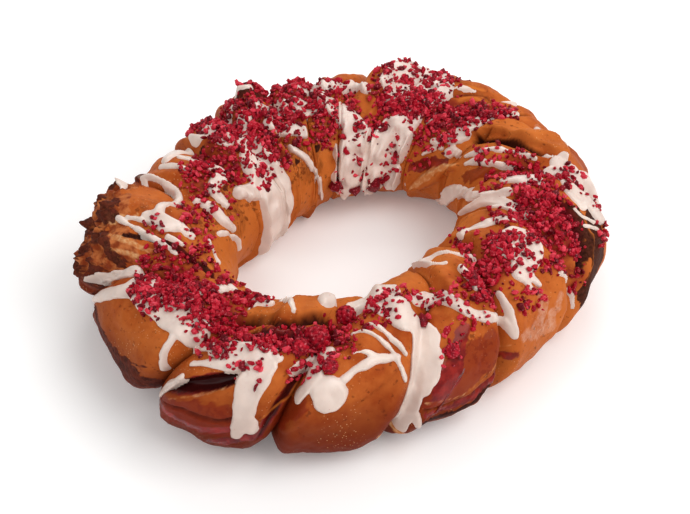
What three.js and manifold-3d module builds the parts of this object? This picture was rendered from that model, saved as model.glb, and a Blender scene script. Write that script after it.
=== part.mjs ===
// A sweet kringle: a halved roll of filled dough, its two strands twisted into
// a rope and joined into an oval ring, with runs of white icing, a red berry
// filling that shows in the cut layers, and crumbs of dried raspberry on top.
//
// Places on the ring are given by two angles in degrees. The ring angle runs
// counter-clockwise seen from above, from 0 at +X (270 is the front). The rope
// angle runs round the rope's section: 0 faces outward, 90 up, 180 to the hole.

import * as THREE from 'three';
import { mergeVertices } from 'three/addons/utils/BufferGeometryUtils.js';
import { ParametricGeometry } from 'three/addons/geometries/ParametricGeometry.js';
import Module from 'manifold-3d';

// Driving dimensions, in millimetres and degrees.

// The oval line that the middle of the rope follows. Its centre lies a little to the
// right, so that the whole kringle, with its burnt end, is centred on the origin.
const RING = { mean: 99.5, oval: 13.7, longAxis: 50, height: 32.3, centre: 3.6 };

// One strand's section: how far its middle lies off the rope's middle, its half
// reach and half width, and the power of its rounded outline.
const STRAND = { offset: 15, reach: 24.5, width: 34.5, power: 2.3 };

// The rope is this much lower than it is wide.
const SQUASH = 0.86;

// The twist pauses at each lobe and hurries between them, by this share.
const DWELL = 0.62;

// Where each lobe bulges outward, and how much that lobe swelled in the oven.
// Strands A and B take turns.
const LOBES = [
  { at: 215, swell: -0.05 }, { at: 245, swell: 0.1 }, { at: 267, swell: 0.05 },
  { at: 297, swell: 0 }, { at: 320, swell: 0 }, { at: 353, swell: 0.1 },
  { at: 374, swell: 0 }, { at: 394, swell: -0.1 }, { at: 413, swell: 0 },
  { at: 434, swell: 0.1 }, { at: 450, swell: 0 }, { at: 464, swell: 0 },
  { at: 480, swell: 0.2 }, { at: 498, swell: 0 }, { at: 515, swell: -0.05 },
  { at: 539, swell: 0.2 },
];
const LINES_PER_LOBE = 6;
const ROPE_ROWS = 18;
const FARTHEST_SKIN = 3 * STRAND.width;
const SKIN_PRECISION = 0.0005;
const SHARE_PRECISION = 1e-9;

// Air between neighbouring pieces, and the icing's thickness over that.
const GAP = 0.45;
const ICING_THICKNESS = 2.8;

// A ribbon of filling in a strand: the angle in the strand's own section at which
// it comes to the surface, its thickness, how deep its inner edge lies (as a share
// of the way from the strand's middle to its skin), how far below the skin it ends
// where it shows (there it stands proud) and where it does not, and the stretches
// where it shows.
const FILLINGS = [
  {
    name: 'filling_front', strand: 1, from: 222, to: 376, angle: 24, thick: 5,
    inner: 0.3, showDepth: -1.6, hideDepth: 9, shows: [[234, 247], [286, 299], [343, 369]],
  },
  {
    name: 'filling_back', strand: 0, from: 398, to: 428, angle: 20, thick: 5,
    inner: 0.3, showDepth: -1.6, hideDepth: 9, shows: [[405, 424]],
  },
];
const FILLING_STEP = 1.4;
const SHOW_FADE = 3;

// Icing: each piece is one or more strokes, and each stroke a list of knots with
// the ring angle, the rope angle and the half width there.
const ICING = {
  icing_left: [
    [[168, 46, 3], [171, 66, 3], [177, 97, 3], [188, 98, 3], [195, 87, 6], [199, 108, 3], [204, 119, 2.5]],
  ],
  icing_left_band: [
    [[157, 60, 4.5], [163, 86, 4.5], [161, 116, 6], [173, 122, 4.5], [182, 134, 4], [187, 152, 4]],
  ],
  icing_wide_run: [
    [[146, 68, 5], [140, 98, 8], [146, 132, 12], [151, 160, 10], [154, 196, 8]],
  ],
  icing_back_left: [
    [[125, 106, 4.5], [113, 128, 5.5]],
  ],
  icing_back: [
    [[97, 100, 5], [90, 106, 8], [87, 132, 12], [84, 156, 14], [79, 180, 12]],
  ],
  icing_top: [
    [[80, 100, 5], [77, 74, 8], [71, 62, 8], [65, 80, 7], [59, 92, 6]],
  ],
  icing_back_right: [
    [[39, 80, 4], [41, 98, 4.5], [43, 122, 5], [45, 148, 5.5]],
  ],
  icing_right: [
    [[15, 76, 6], [12, 52, 9], [7, 36, 10], [1, 24, 8]],
  ],
  icing_right_inner: [
    [[39, 188, 5], [24, 162, 5], [8, 132, 5], [1, 110, 4.5]],
  ],
  icing_right_pool: [
    [[340, 92, 5], [335, 82, 8], [329, 74, 9], [326, 58, 8], [325, 44, 4]],
  ],
  icing_front_right: [
    [[297, 96, 4.5], [300, 78, 4.5], [303, 58, 4.5], [309, 42, 4.5], [313, 22, 4]],
  ],
  icing_front: [
    [[277, 120, 6], [284, 110, 8], [283, 90, 9], [288, 68, 8], [289, 48, 9], [287, 26, 8], [285, 6, 7],
      [284, -8, 6]],
    [[267, 34, 3.5], [273, 45, 3], [284, 46, 3.5]],
    [[265, 56, 4.5], [266, 32, 9]],
  ],
  icing_left_front: [
    [[199, 16, 4], [206, 30, 6], [212, 52, 9], [221, 64, 11], [228, 66, 11], [234, 62, 8]],
    [[229, 60, 3], [231, 44, 2.6], [231, 24, 2.4]],
    [[218, 80, 7], [225, 94, 5], [230, 112, 4]],
  ],
  icing_front_drip: [
    [[238, 50, 4], [244, 52, 5], [250, 54, 7.5], [253, 42, 7.5], [252, 22, 6.5], [251, 2, 5.5]],
  ],
};
const PLACES_PER_KNOT = 6;
const STROKE_END = { ahead: 0.7, share: 0.55 };
const STROKE_ABOVE = 9;
const STROKE_BELOW = 14;

// Crags: burnt lumps where the rope's end was torn, and a dark flap at the back.
const CRAGS = [
  { ring: 180, rope: 36, radius: 7 }, { ring: 184, rope: 12, radius: 8 },
  { ring: 190, rope: 34, radius: 7 }, { ring: 194, rope: 6, radius: 9 },
  { ring: 121, rope: 58, radius: 8 },
];
const CRAG_SINK = 0.35;

// A torn lip of pale dough on the hole's side.
const TORN_LIP = { stroke: [[57, 200, 4.5], [51, 186, 6], [44, 170, 4]], thickness: 7 };

// Whole raspberries lying in the front hollow and in the crease beside it.
const BERRIES = [
  { ring: 262, rope: 76, radius: 6.5 }, { ring: 269, rope: 106, radius: 5.2 },
  { ring: 259, rope: 64, radius: 4.4 }, { ring: 266, rope: 48, radius: 4 },
  { ring: 294, rope: 36, radius: 3.8 },
];
const BERRY_BUMPS = { around: 6, down: 4, height: 0.12 };
const BERRY_SIDES = 10;
const BERRY_RAISE = 0.45;

// Raspberry crumbs, largest first, scattered over the top of the rope, and how far,
// in their own radii, they keep from each other and from the edges of the icing.
const CRUMBS = { tries: 44, largest: 2.7, smallest: 2, sink: 0.2, middle: 92, spread: 42, seed: 11 };
const CRUMB_ROOM = { others: 1.6, insideIcing: 1.5, outsideIcing: 2.5 };

// How uneven a crag or crumb is: its width and its height, as shares of its radius.
const LUMP = { narrow: 0.8, wide: 1.2, low: 0.7, high: 1 };

// The steps of a repeatable stream of numbers.
const STREAM = { factor: 1664525, step: 1013904223, range: 4294967296 };

const COLOURS = {
  dough: { color: 0xbd6730, roughness: 0.55 },
  filling: { color: 0x8a1a1a, roughness: 0.3 },
  icing: { color: 0xe6d3c8, roughness: 0.45 },
  berry: { color: 0x900f22, roughness: 0.6 },
};

const wasm = await Module();
wasm.setup();

const radians = THREE.MathUtils.degToRad;
const signedPower = (value, power) => Math.sign(value) * Math.abs(value) ** power;

function wrapAngle(ring) {
  const first = LOBES[0].at;
  return first + THREE.MathUtils.euclideanModulo(ring - first, 360);
}

const nextLobeAngle = (lobe) => (lobe + 1 < LOBES.length ? LOBES[lobe + 1].at : LOBES[0].at + 360);
const easedShare = (share) => share - DWELL * Math.sin(2 * Math.PI * share) / (2 * Math.PI);

// The twist at a ring angle: which lobe it follows, how far on to the next, and
// how far strand A has turned.
function twistAt(ring) {
  const angle = wrapAngle(ring);
  const lobe = LOBES.findLastIndex((each) => each.at <= angle);
  const share = (angle - LOBES[lobe].at) / (nextLobeAngle(lobe) - LOBES[lobe].at);
  return { lobe, share, turn: Math.PI * (lobe + easedShare(share)) };
}

// How much a strand has swelled at a ring angle: each lobe's own swell fades to
// none at the lobes of the other strand.
function swellAt(ring, strand) {
  const { lobe, share } = twistAt(ring);
  const near = 0.5 * (1 + Math.cos(Math.PI * share));
  const following = (lobe + 1) % LOBES.length;
  if (lobe % 2 === strand) return 1 + LOBES[lobe].swell * near;
  return 1 + LOBES[following].swell * (1 - near);
}

const ringRadius = (ring) => RING.mean + RING.oval * Math.cos(2 * radians(ring - RING.longAxis));

// A point beside the rope's middle: out along the ring's radius, and up.
function besideRope(ring, out, up, target = new THREE.Vector3()) {
  const radius = ringRadius(ring) + out;
  const angle = radians(ring);
  const right = RING.centre + radius * Math.cos(angle);
  return target.set(right, radius * Math.sin(angle), RING.height + up);
}

// From a strand's own section, along its facing and across it, to the shape.
function inStrand(ring, strand, along, across, target) {
  const turn = twistAt(ring).turn + Math.PI * strand;
  const out = along * Math.cos(turn) - across * Math.sin(turn);
  const up = SQUASH * (along * Math.sin(turn) + across * Math.cos(turn));
  return besideRope(ring, out, up, target);
}

// The skin of a strand's section at one of the strand's own angles.
function sectionSkin(ring, strand, angle) {
  const swell = swellAt(ring, strand);
  const rounding = 2 / STRAND.power;
  return {
    along: swell * (STRAND.offset + STRAND.reach * signedPower(Math.cos(angle), rounding)),
    across: swell * STRAND.width * signedPower(Math.sin(angle), rounding),
  };
}

// The ring angle at which strand A has turned so far: the twist run backwards, found
// by halving between one lobe and the next.
function ringAngleFor(turn) {
  const place = THREE.MathUtils.euclideanModulo(turn / Math.PI, LOBES.length);
  const lobe = Math.min(Math.floor(place), LOBES.length - 1);
  let near = 0;
  let far = 1;
  while (far - near > SHARE_PRECISION) {
    const middle = 0.5 * (near + far);
    if (easedShare(middle) < place - lobe) near = middle;
    else far = middle;
  }
  return THREE.MathUtils.lerp(LOBES[lobe].at, nextLobeAngle(lobe), near);
}

// A closed solid from a geometry whose seams are shared points, faces turned outward.
function solidOf(geometry) {
  const bare = geometry.clone();
  bare.deleteAttribute('normal');
  bare.deleteAttribute('uv');
  const merged = mergeVertices(bare);
  const points = merged.attributes.position;
  const corners = [0, 1, 2].map(() => new THREE.Vector3());
  const triangles = [];
  let volume = 0;
  for (let i = 0; i < merged.index.count; i += 3) {
    const triangle = [0, 1, 2].map((step) => merged.index.getX(i + step));
    if (new Set(triangle).size < 3) continue;
    triangle.forEach((point, step) => corners[step].fromBufferAttribute(points, point));
    volume += corners[0].dot(corners[1].cross(corners[2]));
    triangles.push(triangle);
  }
  if (volume < 0) triangles.forEach((triangle) => triangle.reverse());
  return new wasm.Manifold(new wasm.Mesh({
    numProp: 3,
    vertProperties: new Float32Array(points.array),
    triVerts: new Uint32Array(triangles.flat()),
  }));
}

const joined = (solids) => solids.reduce((sum, each) => sum.add(each));

// The largest piece of a solid: loose scraps are dropped.
function largestPiece(solid) {
  const pieces = solid.decompose();
  return pieces.reduce((best, each) => (each.volume() > best.volume() ? each : best));
}

// How many times a direction (out, and up before the squash) fits between the rope's
// middle and the skin of the outer strand, both grown by a distance. It is found by
// halving: both strands hold the middle, so the skin is met once on the way out.
function skinReach(ring, out, up, grow) {
  const { turn } = twistAt(ring);
  const inside = (distance) => [0, 1].some((strand) => {
    const facing = turn + Math.PI * strand;
    const swell = swellAt(ring, strand);
    const along = distance * (out * Math.cos(facing) + up * Math.sin(facing)) - swell * STRAND.offset;
    const across = distance * (up * Math.cos(facing) - out * Math.sin(facing));
    return Math.abs(along / (swell * STRAND.reach + grow)) ** STRAND.power
      + Math.abs(across / (swell * STRAND.width + grow)) ** STRAND.power < 1;
  });
  let near = 0;
  let far = FARTHEST_SKIN;
  while (far - near > SKIN_PRECISION) {
    const middle = 0.5 * (near + far);
    if (inside(middle)) near = middle;
    else far = middle;
  }
  return near;
}

// The twisted rope, grown by a distance. Its lines follow the strands round the rope,
// so that one line in each lobe lies in the crease between two strands.
function ropeSolid(grow) {
  const surface = (u, v, target) => {
    const angle = 2 * Math.PI * v;
    const ring = ringAngleFor(angle + Math.PI * LOBES.length * u);
    const [out, up] = [Math.cos(angle), Math.sin(angle)];
    const reach = skinReach(ring, out, up, grow);
    besideRope(ring, reach * out, SQUASH * reach * up, target);
  };
  return solidOf(new ParametricGeometry(surface, LINES_PER_LOBE * LOBES.length, ROPE_ROWS));
}

// A point over the rope's skin, raised by a distance.
function overSkin(ring, rope, raise = 0, target = new THREE.Vector3()) {
  const [out, up] = [Math.cos(radians(rope)), Math.sin(radians(rope))];
  const distance = skinReach(ring, out, up / SQUASH, 0) + raise;
  return besideRope(ring, distance * out, distance * up, target);
}

// A knot's ring angle, moved by whole turns to lie near the stroke's first knot.
function unwrapped(knot, first) {
  const turns = Math.round((knot[0] - first[0]) / 360);
  return new THREE.Vector3(knot[0] - 360 * turns, knot[1], knot[2]);
}

// A stroke's smooth line of ring angle, rope angle and half width.
const strokeLine = (knots) => new THREE.CatmullRomCurve3(knots.map((knot) => unwrapped(knot, knots[0])));

// Places close together along a stroke, each with the half width there.
function strokePlaces(knots) {
  const samples = strokeLine(knots).getPoints(PLACES_PER_KNOT * knots.length);
  return samples.map(({ x: ring, y: rope, z: width }) => ({ skin: overSkin(ring, rope), width }));
}

// The rows along a stroke: place, half width, and how far the ring angle and the
// rope angle go in one millimetre across the stroke.
function strokeRows(knots) {
  const curve = strokeLine(knots);
  return curve.points.map(({ x: ring, y: rope, z: width }, i) => {
    const ahead = curve.getTangent(i / (knots.length - 1));
    const skin = overSkin(ring, rope);
    const ringMillimetres = radians(1) * Math.hypot(skin.x - RING.centre, skin.y);
    const ropeMillimetres = radians(1) * skin.distanceTo(besideRope(ring, 0, 0));
    const [along, across] = [ahead.x * ringMillimetres, ahead.y * ropeMillimetres];
    const length = Math.hypot(along, across);
    const ringPerSide = -across / length / ringMillimetres;
    const ropePerSide = along / length / ropeMillimetres;
    const ringPerAhead = along / length / ringMillimetres;
    const ropePerAhead = across / length / ropeMillimetres;
    return { ring, rope, width, ringPerSide, ropePerSide, ringPerAhead, ropePerAhead };
  });
}

// A narrower row a little way past the end of a stroke, which rounds it off.
function endRow(row, direction) {
  const ahead = direction * STROKE_END.ahead * row.width;
  return {
    ...row,
    ring: row.ring + ahead * row.ringPerAhead,
    rope: row.rope + ahead * row.ropePerAhead,
    width: row.width * STROKE_END.share,
  };
}

// The room that a stroke takes up: a band with upright sides along the rope's skin,
// from below the skin to above it.
function strokeSolid(knots, above, below) {
  const rows = strokeRows(knots);
  rows.unshift(endRow(rows[0], -1));
  rows.push(endRow(rows.at(-1), 1));
  const corners = [[-1, -below], [1, -below], [1, above], [-1, above]];
  const surface = (u, v, target) => {
    const row = rows[Math.round(v * (rows.length - 1))];
    const [side, raise] = corners[Math.round(u * corners.length) % corners.length];
    const ring = row.ring + side * row.width * row.ringPerSide;
    const rope = row.rope + side * row.width * row.ropePerSide;
    overSkin(ring, rope, raise, target);
  };
  const sleeve = new ParametricGeometry(surface, corners.length, rows.length - 1);
  return solidOf(capped(sleeve, corners.length, rows.length - 1));
}

// Whether a filling shows at a ring angle, from 0 to 1 with soft ends.
function showShare(filling, ring) {
  const shares = filling.shows.map(([from, to]) => {
    const inner = Math.min(ring - from, to - ring);
    return THREE.MathUtils.smoothstep(inner, 0, SHOW_FADE);
  });
  return Math.max(...shares);
}

// A ribbon of filling along its strand. With room it is the channel in the dough:
// thicker by that room all round and longer at both ends.
function fillingSolid(filling, room) {
  const steps = Math.round((filling.to - filling.from) / FILLING_STEP);
  const rings = Array.from({ length: steps + 1 }, (_, i) => (
    THREE.MathUtils.lerp(filling.from, filling.to, i / steps)));
  if (room > 0) {
    rings.unshift(filling.from - room);
    rings.push(filling.to + room);
  }
  const angle = radians(filling.angle);
  const corners = [[0, 1], [1, 1], [1, -1], [0, -1]];
  const surface = (u, v, target) => {
    const ring = rings[Math.round(v * (rings.length - 1))];
    const [outer, side] = corners[Math.round(u * corners.length) % corners.length];
    const skin = sectionSkin(ring, filling.strand, angle);
    const middle = swellAt(ring, filling.strand) * STRAND.offset;
    const reach = Math.hypot(skin.along - middle, skin.across);
    const shown = showShare(filling, ring);
    const filled = THREE.MathUtils.lerp(filling.hideDepth, filling.showDepth, shown);
    const distance = outer ? reach - filled + room : filling.inner * reach - room;
    const half = 0.5 * filling.thick + room;
    const [facing, across] = [(skin.along - middle) / reach, skin.across / reach];
    const along = middle + distance * facing - side * half * across;
    inStrand(ring, filling.strand, along, distance * across + side * half * facing, target);
  };
  const sleeve = new ParametricGeometry(surface, corners.length, rings.length - 1);
  return solidOf(capped(sleeve, corners.length, rings.length - 1));
}

// Closes the two open ends of a sleeve with a fan of triangles each.
function capped(sleeve, sides, steps) {
  const index = Array.from(sleeve.index.array);
  const lastRow = steps * (sides + 1);
  for (let i = 1; i < sides - 1; i += 1) {
    index.push(0, i + 1, i);
    index.push(lastRow, lastRow + i, lastRow + i + 1);
  }
  sleeve.setIndex(index);
  return sleeve;
}

// A raspberry: a ball whose skin swells into rows of round drupelets.
function berrySolid(berry, grow) {
  const radius = berry.radius + grow;
  const bump = grow > 0 ? () => 1 + BERRY_BUMPS.height : (around, down) => 1
    + BERRY_BUMPS.height * Math.cos(BERRY_BUMPS.around * around) * Math.sin(BERRY_BUMPS.down * down);
  const centre = overSkin(berry.ring, berry.rope, BERRY_RAISE * berry.radius);
  const surface = (u, v, target) => {
    const around = 2 * Math.PI * u;
    const down = Math.PI * v;
    const distance = radius * bump(around, down);
    target.setFromSphericalCoords(distance, down, -around).add(centre);
  };
  return solidOf(new ParametricGeometry(surface, BERRY_SIDES, BERRY_SIDES / 2 + 1));
}

// A repeatable stream of numbers from 0 to 1.
function seededNumbers(seed) {
  let state = seed;
  return () => {
    state = (state * STREAM.factor + STREAM.step) % STREAM.range;
    return state / STREAM.range;
  };
}

// A craggy lump or crumb: a turned, uneven twenty-sided solid.
function lumpSolid(centre, radius, random) {
  const lump = new THREE.IcosahedronGeometry(radius, 0);
  const { lerp } = THREE.MathUtils;
  const [long, wide] = [lerp(LUMP.narrow, LUMP.wide, random()), lerp(LUMP.narrow, LUMP.wide, random())];
  lump.scale(long, wide, lerp(LUMP.low, LUMP.high, random()));
  lump.rotateX(Math.PI * random()).rotateZ(Math.PI * random());
  lump.translate(centre.x, centre.y, centre.z);
  return solidOf(lump);
}

function cragSolids() {
  const random = seededNumbers(CRUMBS.seed + 1);
  return CRAGS.map(({ ring, rope, radius }) => lumpSolid(
    overSkin(ring, rope, -CRAG_SINK * radius), radius, random));
}

// The places of the crumbs: even steps round the ring, and a spread across it.
// One that would touch the edge of an icing piece, a berry, a crag or another
// crumb is left out; the rest lie on bare dough or on one icing piece.
function crumbPlaces(icingPlaces, keepClear) {
  const random = seededNumbers(CRUMBS.seed);
  const goldenAngle = 180 * (3 - Math.sqrt(5));
  const placed = [];
  for (let i = 0; i < CRUMBS.tries; i += 1) {
    const radius = THREE.MathUtils.lerp(CRUMBS.largest, CRUMBS.smallest, i / CRUMBS.tries);
    const ring = i * goldenAngle % 360;
    const rope = CRUMBS.middle + CRUMBS.spread * (random() + random() - 1);
    const skin = overSkin(ring, rope);
    const margins = Object.entries(icingPlaces).map(([name, places]) => ({
      name, margin: Math.min(...places.map((each) => each.skin.distanceTo(skin) - each.width)),
    }));
    const nearest = margins.reduce((best, each) => (each.margin < best.margin ? each : best));
    const others = keepClear.concat(placed.map((each) => ({ centre: each.skin, radius: each.radius })));
    const room = CRUMB_ROOM.others * radius;
    const free = others.every((each) => each.centre.distanceTo(skin) > each.radius + room);
    const onIcing = nearest.margin < -CRUMB_ROOM.insideIcing * radius;
    const onDough = nearest.margin > CRUMB_ROOM.outsideIcing * radius;
    if (!free || !(onIcing || onDough)) continue;
    const raise = onIcing ? ICING_THICKNESS : -CRUMBS.sink * radius;
    const on = onIcing ? nearest.name : 'dough';
    placed.push({ skin, radius, centre: overSkin(ring, rope, raise), on });
  }
  return placed;
}

function crumbSolids(places, node) {
  const random = seededNumbers(CRUMBS.seed + 2);
  const here = places.filter((each) => each.on === node);
  return here.map((each) => lumpSolid(each.centre, each.radius, random));
}

// Places where a filling shows, which crumbs keep clear of.
function fillingPlaces(filling) {
  const places = [];
  for (let ring = filling.from; ring <= filling.to; ring += 1) {
    if (showShare(filling, ring) === 0) continue;
    const skin = sectionSkin(ring, filling.strand, radians(filling.angle));
    const centre = inStrand(ring, filling.strand, skin.along, skin.across, new THREE.Vector3());
    places.push({ centre, radius: filling.thick });
  }
  return places;
}

function meshOf(name, solid, colours) {
  const { vertProperties, triVerts } = solid.getMesh();
  const geometry = new THREE.BufferGeometry();
  geometry.setAttribute('position', new THREE.BufferAttribute(vertProperties, 3));
  geometry.setIndex(new THREE.BufferAttribute(triVerts, 1));
  geometry.computeVertexNormals();
  const mesh = new THREE.Mesh(geometry, new THREE.MeshStandardMaterial({ metalness: 0, ...colours }));
  mesh.name = name;
  return mesh;
}

const kringle = new THREE.Group();
kringle.name = 'kringle';

const icingPlaces = Object.fromEntries(Object.entries(ICING).map(
  ([name, strokes]) => [name, strokes.flatMap(strokePlaces)]));
const berryPlaces = BERRIES.map(({ ring, rope, radius }) => ({ centre: overSkin(ring, rope), radius }));
const cragPlaces = CRAGS.map(({ ring, rope, radius }) => ({ centre: overSkin(ring, rope), radius }));
const shownFilling = FILLINGS.flatMap(fillingPlaces);
const crumbs = crumbPlaces(icingPlaces, [...berryPlaces, ...cragPlaces, ...shownFilling]);

const floorSize = 4 * (RING.mean + STRAND.offset + STRAND.reach);
const belowFloor = solidOf(new THREE.BoxGeometry(floorSize, floorSize, floorSize)
  .translate(0, 0, -floorSize / 2));
const crags = joined([...cragSolids(), strokeSolid(TORN_LIP.stroke, TORN_LIP.thickness, STROKE_BELOW)]);
const channels = joined(FILLINGS.map((filling) => fillingSolid(filling, GAP)));
const berryRoom = joined(BERRIES.map((berry) => berrySolid(berry, GAP)));

const dough = joined([ropeSolid(0), crags, ...crumbSolids(crumbs, 'dough')])
  .subtract(channels)
  .subtract(belowFloor);
const roomOverDough = ropeSolid(GAP).add(dough);
kringle.add(meshOf('dough', largestPiece(dough), COLOURS.dough));

for (const filling of FILLINGS) {
  kringle.add(meshOf(filling.name, fillingSolid(filling, 0), COLOURS.filling));
}

const icingSkin = ropeSolid(GAP + ICING_THICKNESS);
for (const [name, strokes] of Object.entries(ICING)) {
  const bands = joined(strokes.map((stroke) => strokeSolid(stroke, STROKE_ABOVE, STROKE_BELOW)));
  const spread = bands.intersect(icingSkin);
  const sprinkled = joined([spread, ...crumbSolids(crumbs, name)]);
  const fitted = sprinkled.subtract(roomOverDough).subtract(channels).subtract(berryRoom);
  kringle.add(meshOf(name, largestPiece(fitted), COLOURS.icing));
}

BERRIES.forEach((berry, i) => {
  const solid = berrySolid(berry, 0).subtract(roomOverDough).subtract(channels);
  kringle.add(meshOf(`raspberry_${i + 1}`, largestPiece(solid), COLOURS.berry));
});

export default kringle;
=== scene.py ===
# %% [markdown]
# # A twisted kringle
#
# A kringle is a rope of sweet yeast dough baked as a ring. A filled roll is cut in two along its
# length, the two strands are twisted round each other, and the rope's ends are joined. White icing
# is poured over the baked ring and crumbs of dried raspberry are strewn into it while it is wet.
#
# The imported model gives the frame: where the rope runs and where each piece of icing lies. This
# lesson dresses it. Lengths are worked out in millimetres and become metres in the meshes.

import bpy
import numpy as np
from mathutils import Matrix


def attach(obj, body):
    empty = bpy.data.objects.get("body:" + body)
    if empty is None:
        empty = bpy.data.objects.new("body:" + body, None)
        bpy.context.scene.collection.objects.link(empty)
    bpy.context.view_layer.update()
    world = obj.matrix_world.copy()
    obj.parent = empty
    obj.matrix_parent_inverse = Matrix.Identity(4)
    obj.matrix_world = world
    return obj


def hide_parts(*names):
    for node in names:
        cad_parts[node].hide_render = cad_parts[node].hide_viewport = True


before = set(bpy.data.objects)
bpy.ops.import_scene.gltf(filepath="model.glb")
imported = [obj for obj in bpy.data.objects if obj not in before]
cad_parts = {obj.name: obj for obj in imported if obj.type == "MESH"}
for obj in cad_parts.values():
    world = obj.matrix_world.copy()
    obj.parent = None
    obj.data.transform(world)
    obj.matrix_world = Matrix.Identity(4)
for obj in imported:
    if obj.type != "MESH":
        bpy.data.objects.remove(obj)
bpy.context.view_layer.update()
MM = 0.001
print("nodes in the frame:", len(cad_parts))

# %% [markdown]
# ## The rope
#
# Everything on the kringle lies on the rope, so its shape comes first. A place on it has two
# angles: the ring angle runs round the ring, and the rope angle round the rope's section. The
# two strands take turns to bulge outward, in lobes that the photo shows at uneven steps. Two curves
# with a bevel could make the strands, but formulas for their skin also tell where icing and crumbs
# lie. A table of the lobes keeps the unevenness, and the twist between them is a formula.

# %% The oval ring and its lobes
# Millimetres, but the long axis is in degrees and the power is a plain number.
RING = {"mean": 99.5, "oval": 13.7, "long_axis": 50.0, "height": 32.3, "centre": 3.6}
STRAND = {"offset": 15.0, "reach": 24.5, "width": 34.5, "power": 2.3}
SQUASH = 0.86
DWELL = 0.62
# Ring angles of the lobes' crests, strand A's and B's by turns, and how much each has risen.
LOBE_AT = np.array([215, 245, 267, 297, 320, 353, 374, 394, 413, 434, 450, 464, 480, 498, 515,
                    539, 575.0])
LOBE_SWELL = np.array([-0.05, 0.1, 0.05, 0, 0, 0.1, 0, -0.1, 0, 0.1, 0, 0, 0.2, 0, -0.05, 0.2,
                       -0.05])
LOBES = len(LOBE_AT) - 1
TWIST_HALVINGS = 32


def eased(share):
    """The share of half a turn done on the way to the next lobe: it lags near each lobe by a sine."""
    return share - DWELL * np.sin(2 * np.pi * share) / (2 * np.pi)


def twist(ring):
    """The lobe that a ring angle follows, the share of the way to the next, and strand A's turn."""
    angle = LOBE_AT[0] + (ring - LOBE_AT[0]) % 360
    lobe = np.clip(np.searchsorted(LOBE_AT, angle, side="right") - 1, 0, LOBES - 1)
    share = (angle - LOBE_AT[lobe]) / (LOBE_AT[lobe + 1] - LOBE_AT[lobe])
    return lobe, share, np.pi * (lobe + eased(share))


def ring_for(turn):
    """The ring angle where strand A has turned so far: the twist run backwards, by halving."""
    place = (turn / np.pi) % LOBES
    lobe = np.clip(place.astype(int), 0, LOBES - 1)
    near, far = np.zeros_like(place), np.ones_like(place)
    for _ in range(TWIST_HALVINGS):
        middle = 0.5 * (near + far)
        short = eased(middle) < place - lobe
        near, far = np.where(short, middle, near), np.where(short, far, middle)
    return LOBE_AT[lobe] + near * (LOBE_AT[lobe + 1] - LOBE_AT[lobe])


def swell(ring, strand):
    """How much a strand has risen: each lobe's own share, fading to the other strand's lobes."""
    lobe, share, _ = twist(ring)
    near = 0.5 * (1 + np.cos(np.pi * share))
    here = np.where(lobe % 2 == strand, LOBE_SWELL[lobe] * near, 0)
    following = np.where((lobe + 1) % 2 == strand, LOBE_SWELL[lobe + 1] * (1 - near), 0)
    return 1 + here + following


front_turn = twist(np.float64(300))[2]
print("lobes:", LOBES, "- strand A has turned", np.round(front_turn, 2), "radians at 300 degrees")

# %% Where a strand's skin lies
SKIN_HALVINGS = 24
FARTHEST_SKIN = 80.0


def strand_reach(ring, out, lift, strand):
    """How far a strand's skin lies from the rope's middle in the direction (out, lift): along and
    across the strand, the skin is where two powers of the distances add up to one. It is found by
    halving."""
    facing = twist(ring)[2] + np.pi * strand
    grown = swell(ring, strand)
    along = (out * np.cos(facing) + lift * np.sin(facing)) / grown
    across = (lift * np.cos(facing) - out * np.sin(facing)) / grown
    near, far = np.zeros_like(along), np.full_like(along, FARTHEST_SKIN)
    for _ in range(SKIN_HALVINGS):
        middle = 0.5 * (near + far)
        power = np.abs((middle * along - STRAND["offset"]) / STRAND["reach"]) ** STRAND["power"]
        power += np.abs(middle * across / STRAND["width"]) ** STRAND["power"]
        near, far = np.where(power < 1, middle, near), np.where(power < 1, far, middle)
    return near


def on_rope(ring, out, lift, reach):
    """The point at a reach from the rope's middle: out along the ring's radius, and up."""
    angle = np.radians(ring)
    radius = RING["mean"] + RING["oval"] * np.cos(2 * np.radians(ring - RING["long_axis"]))
    radius = radius + reach * out
    return np.stack([RING["centre"] + radius * np.cos(angle), radius * np.sin(angle),
                     RING["height"] + SQUASH * reach * lift], axis=-1)


print("ring:", 2 * RING["mean"], "mm across at the rope's middle")

# %% [markdown]
# ## Lines on the skin
#
# Slits, stripes of icing and burnt edges are all lines drawn on the rope. A line is a few knots,
# each with a ring angle, a rope angle and a half width. They could be painted on the mesh by hand,
# but knots are easy to move. Cutting the corners three times makes a line smooth, and then the
# depth of any point inside it is the half width less the distance.

# %% Smooth lines, soft edges and waves
RING_ANGLE, HALF_WIDTH = 0, 2
CORNER_CUTS = 3


def soft_step(value):
    """0 below 0, 1 above 1 and an S curve between them."""
    share = np.clip(value, 0, 1)
    return share * share * (3 - 2 * share)


def smooth_line(knots):
    """Knots with their corners cut off again and again, a quarter from each end of every leg."""
    line = np.array(knots, float).reshape(-1, 3)
    line[:, RING_ANGLE] = np.unwrap(line[:, RING_ANGLE], period=360)
    for _ in range(CORNER_CUTS if len(line) > 1 else 0):
        early, late = 0.75 * line[:-1] + 0.25 * line[1:], 0.25 * line[:-1] + 0.75 * line[1:]
        cut = np.stack([early, late], axis=1).reshape(-1, 3)
        line = np.concatenate([line[:1], cut, line[-1:]])
    return line


def rope_direction(rope):
    """The direction (out, lift) that the squash turns into a rope angle, in degrees."""
    out, lift = np.cos(np.radians(rope)), np.sin(np.radians(rope)) / SQUASH
    length = np.hypot(out, lift)
    return out / length, lift / length


def both_reaches(ring, rope):
    """The reaches of both strands at a ring angle and a rope angle."""
    return [strand_reach(ring, *rope_direction(rope), strand) for strand in (0, 1)]


def bare_skin(ring, rope):
    """The reach of the strand that lies outside."""
    return np.maximum(*both_reaches(ring, rope))


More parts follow.
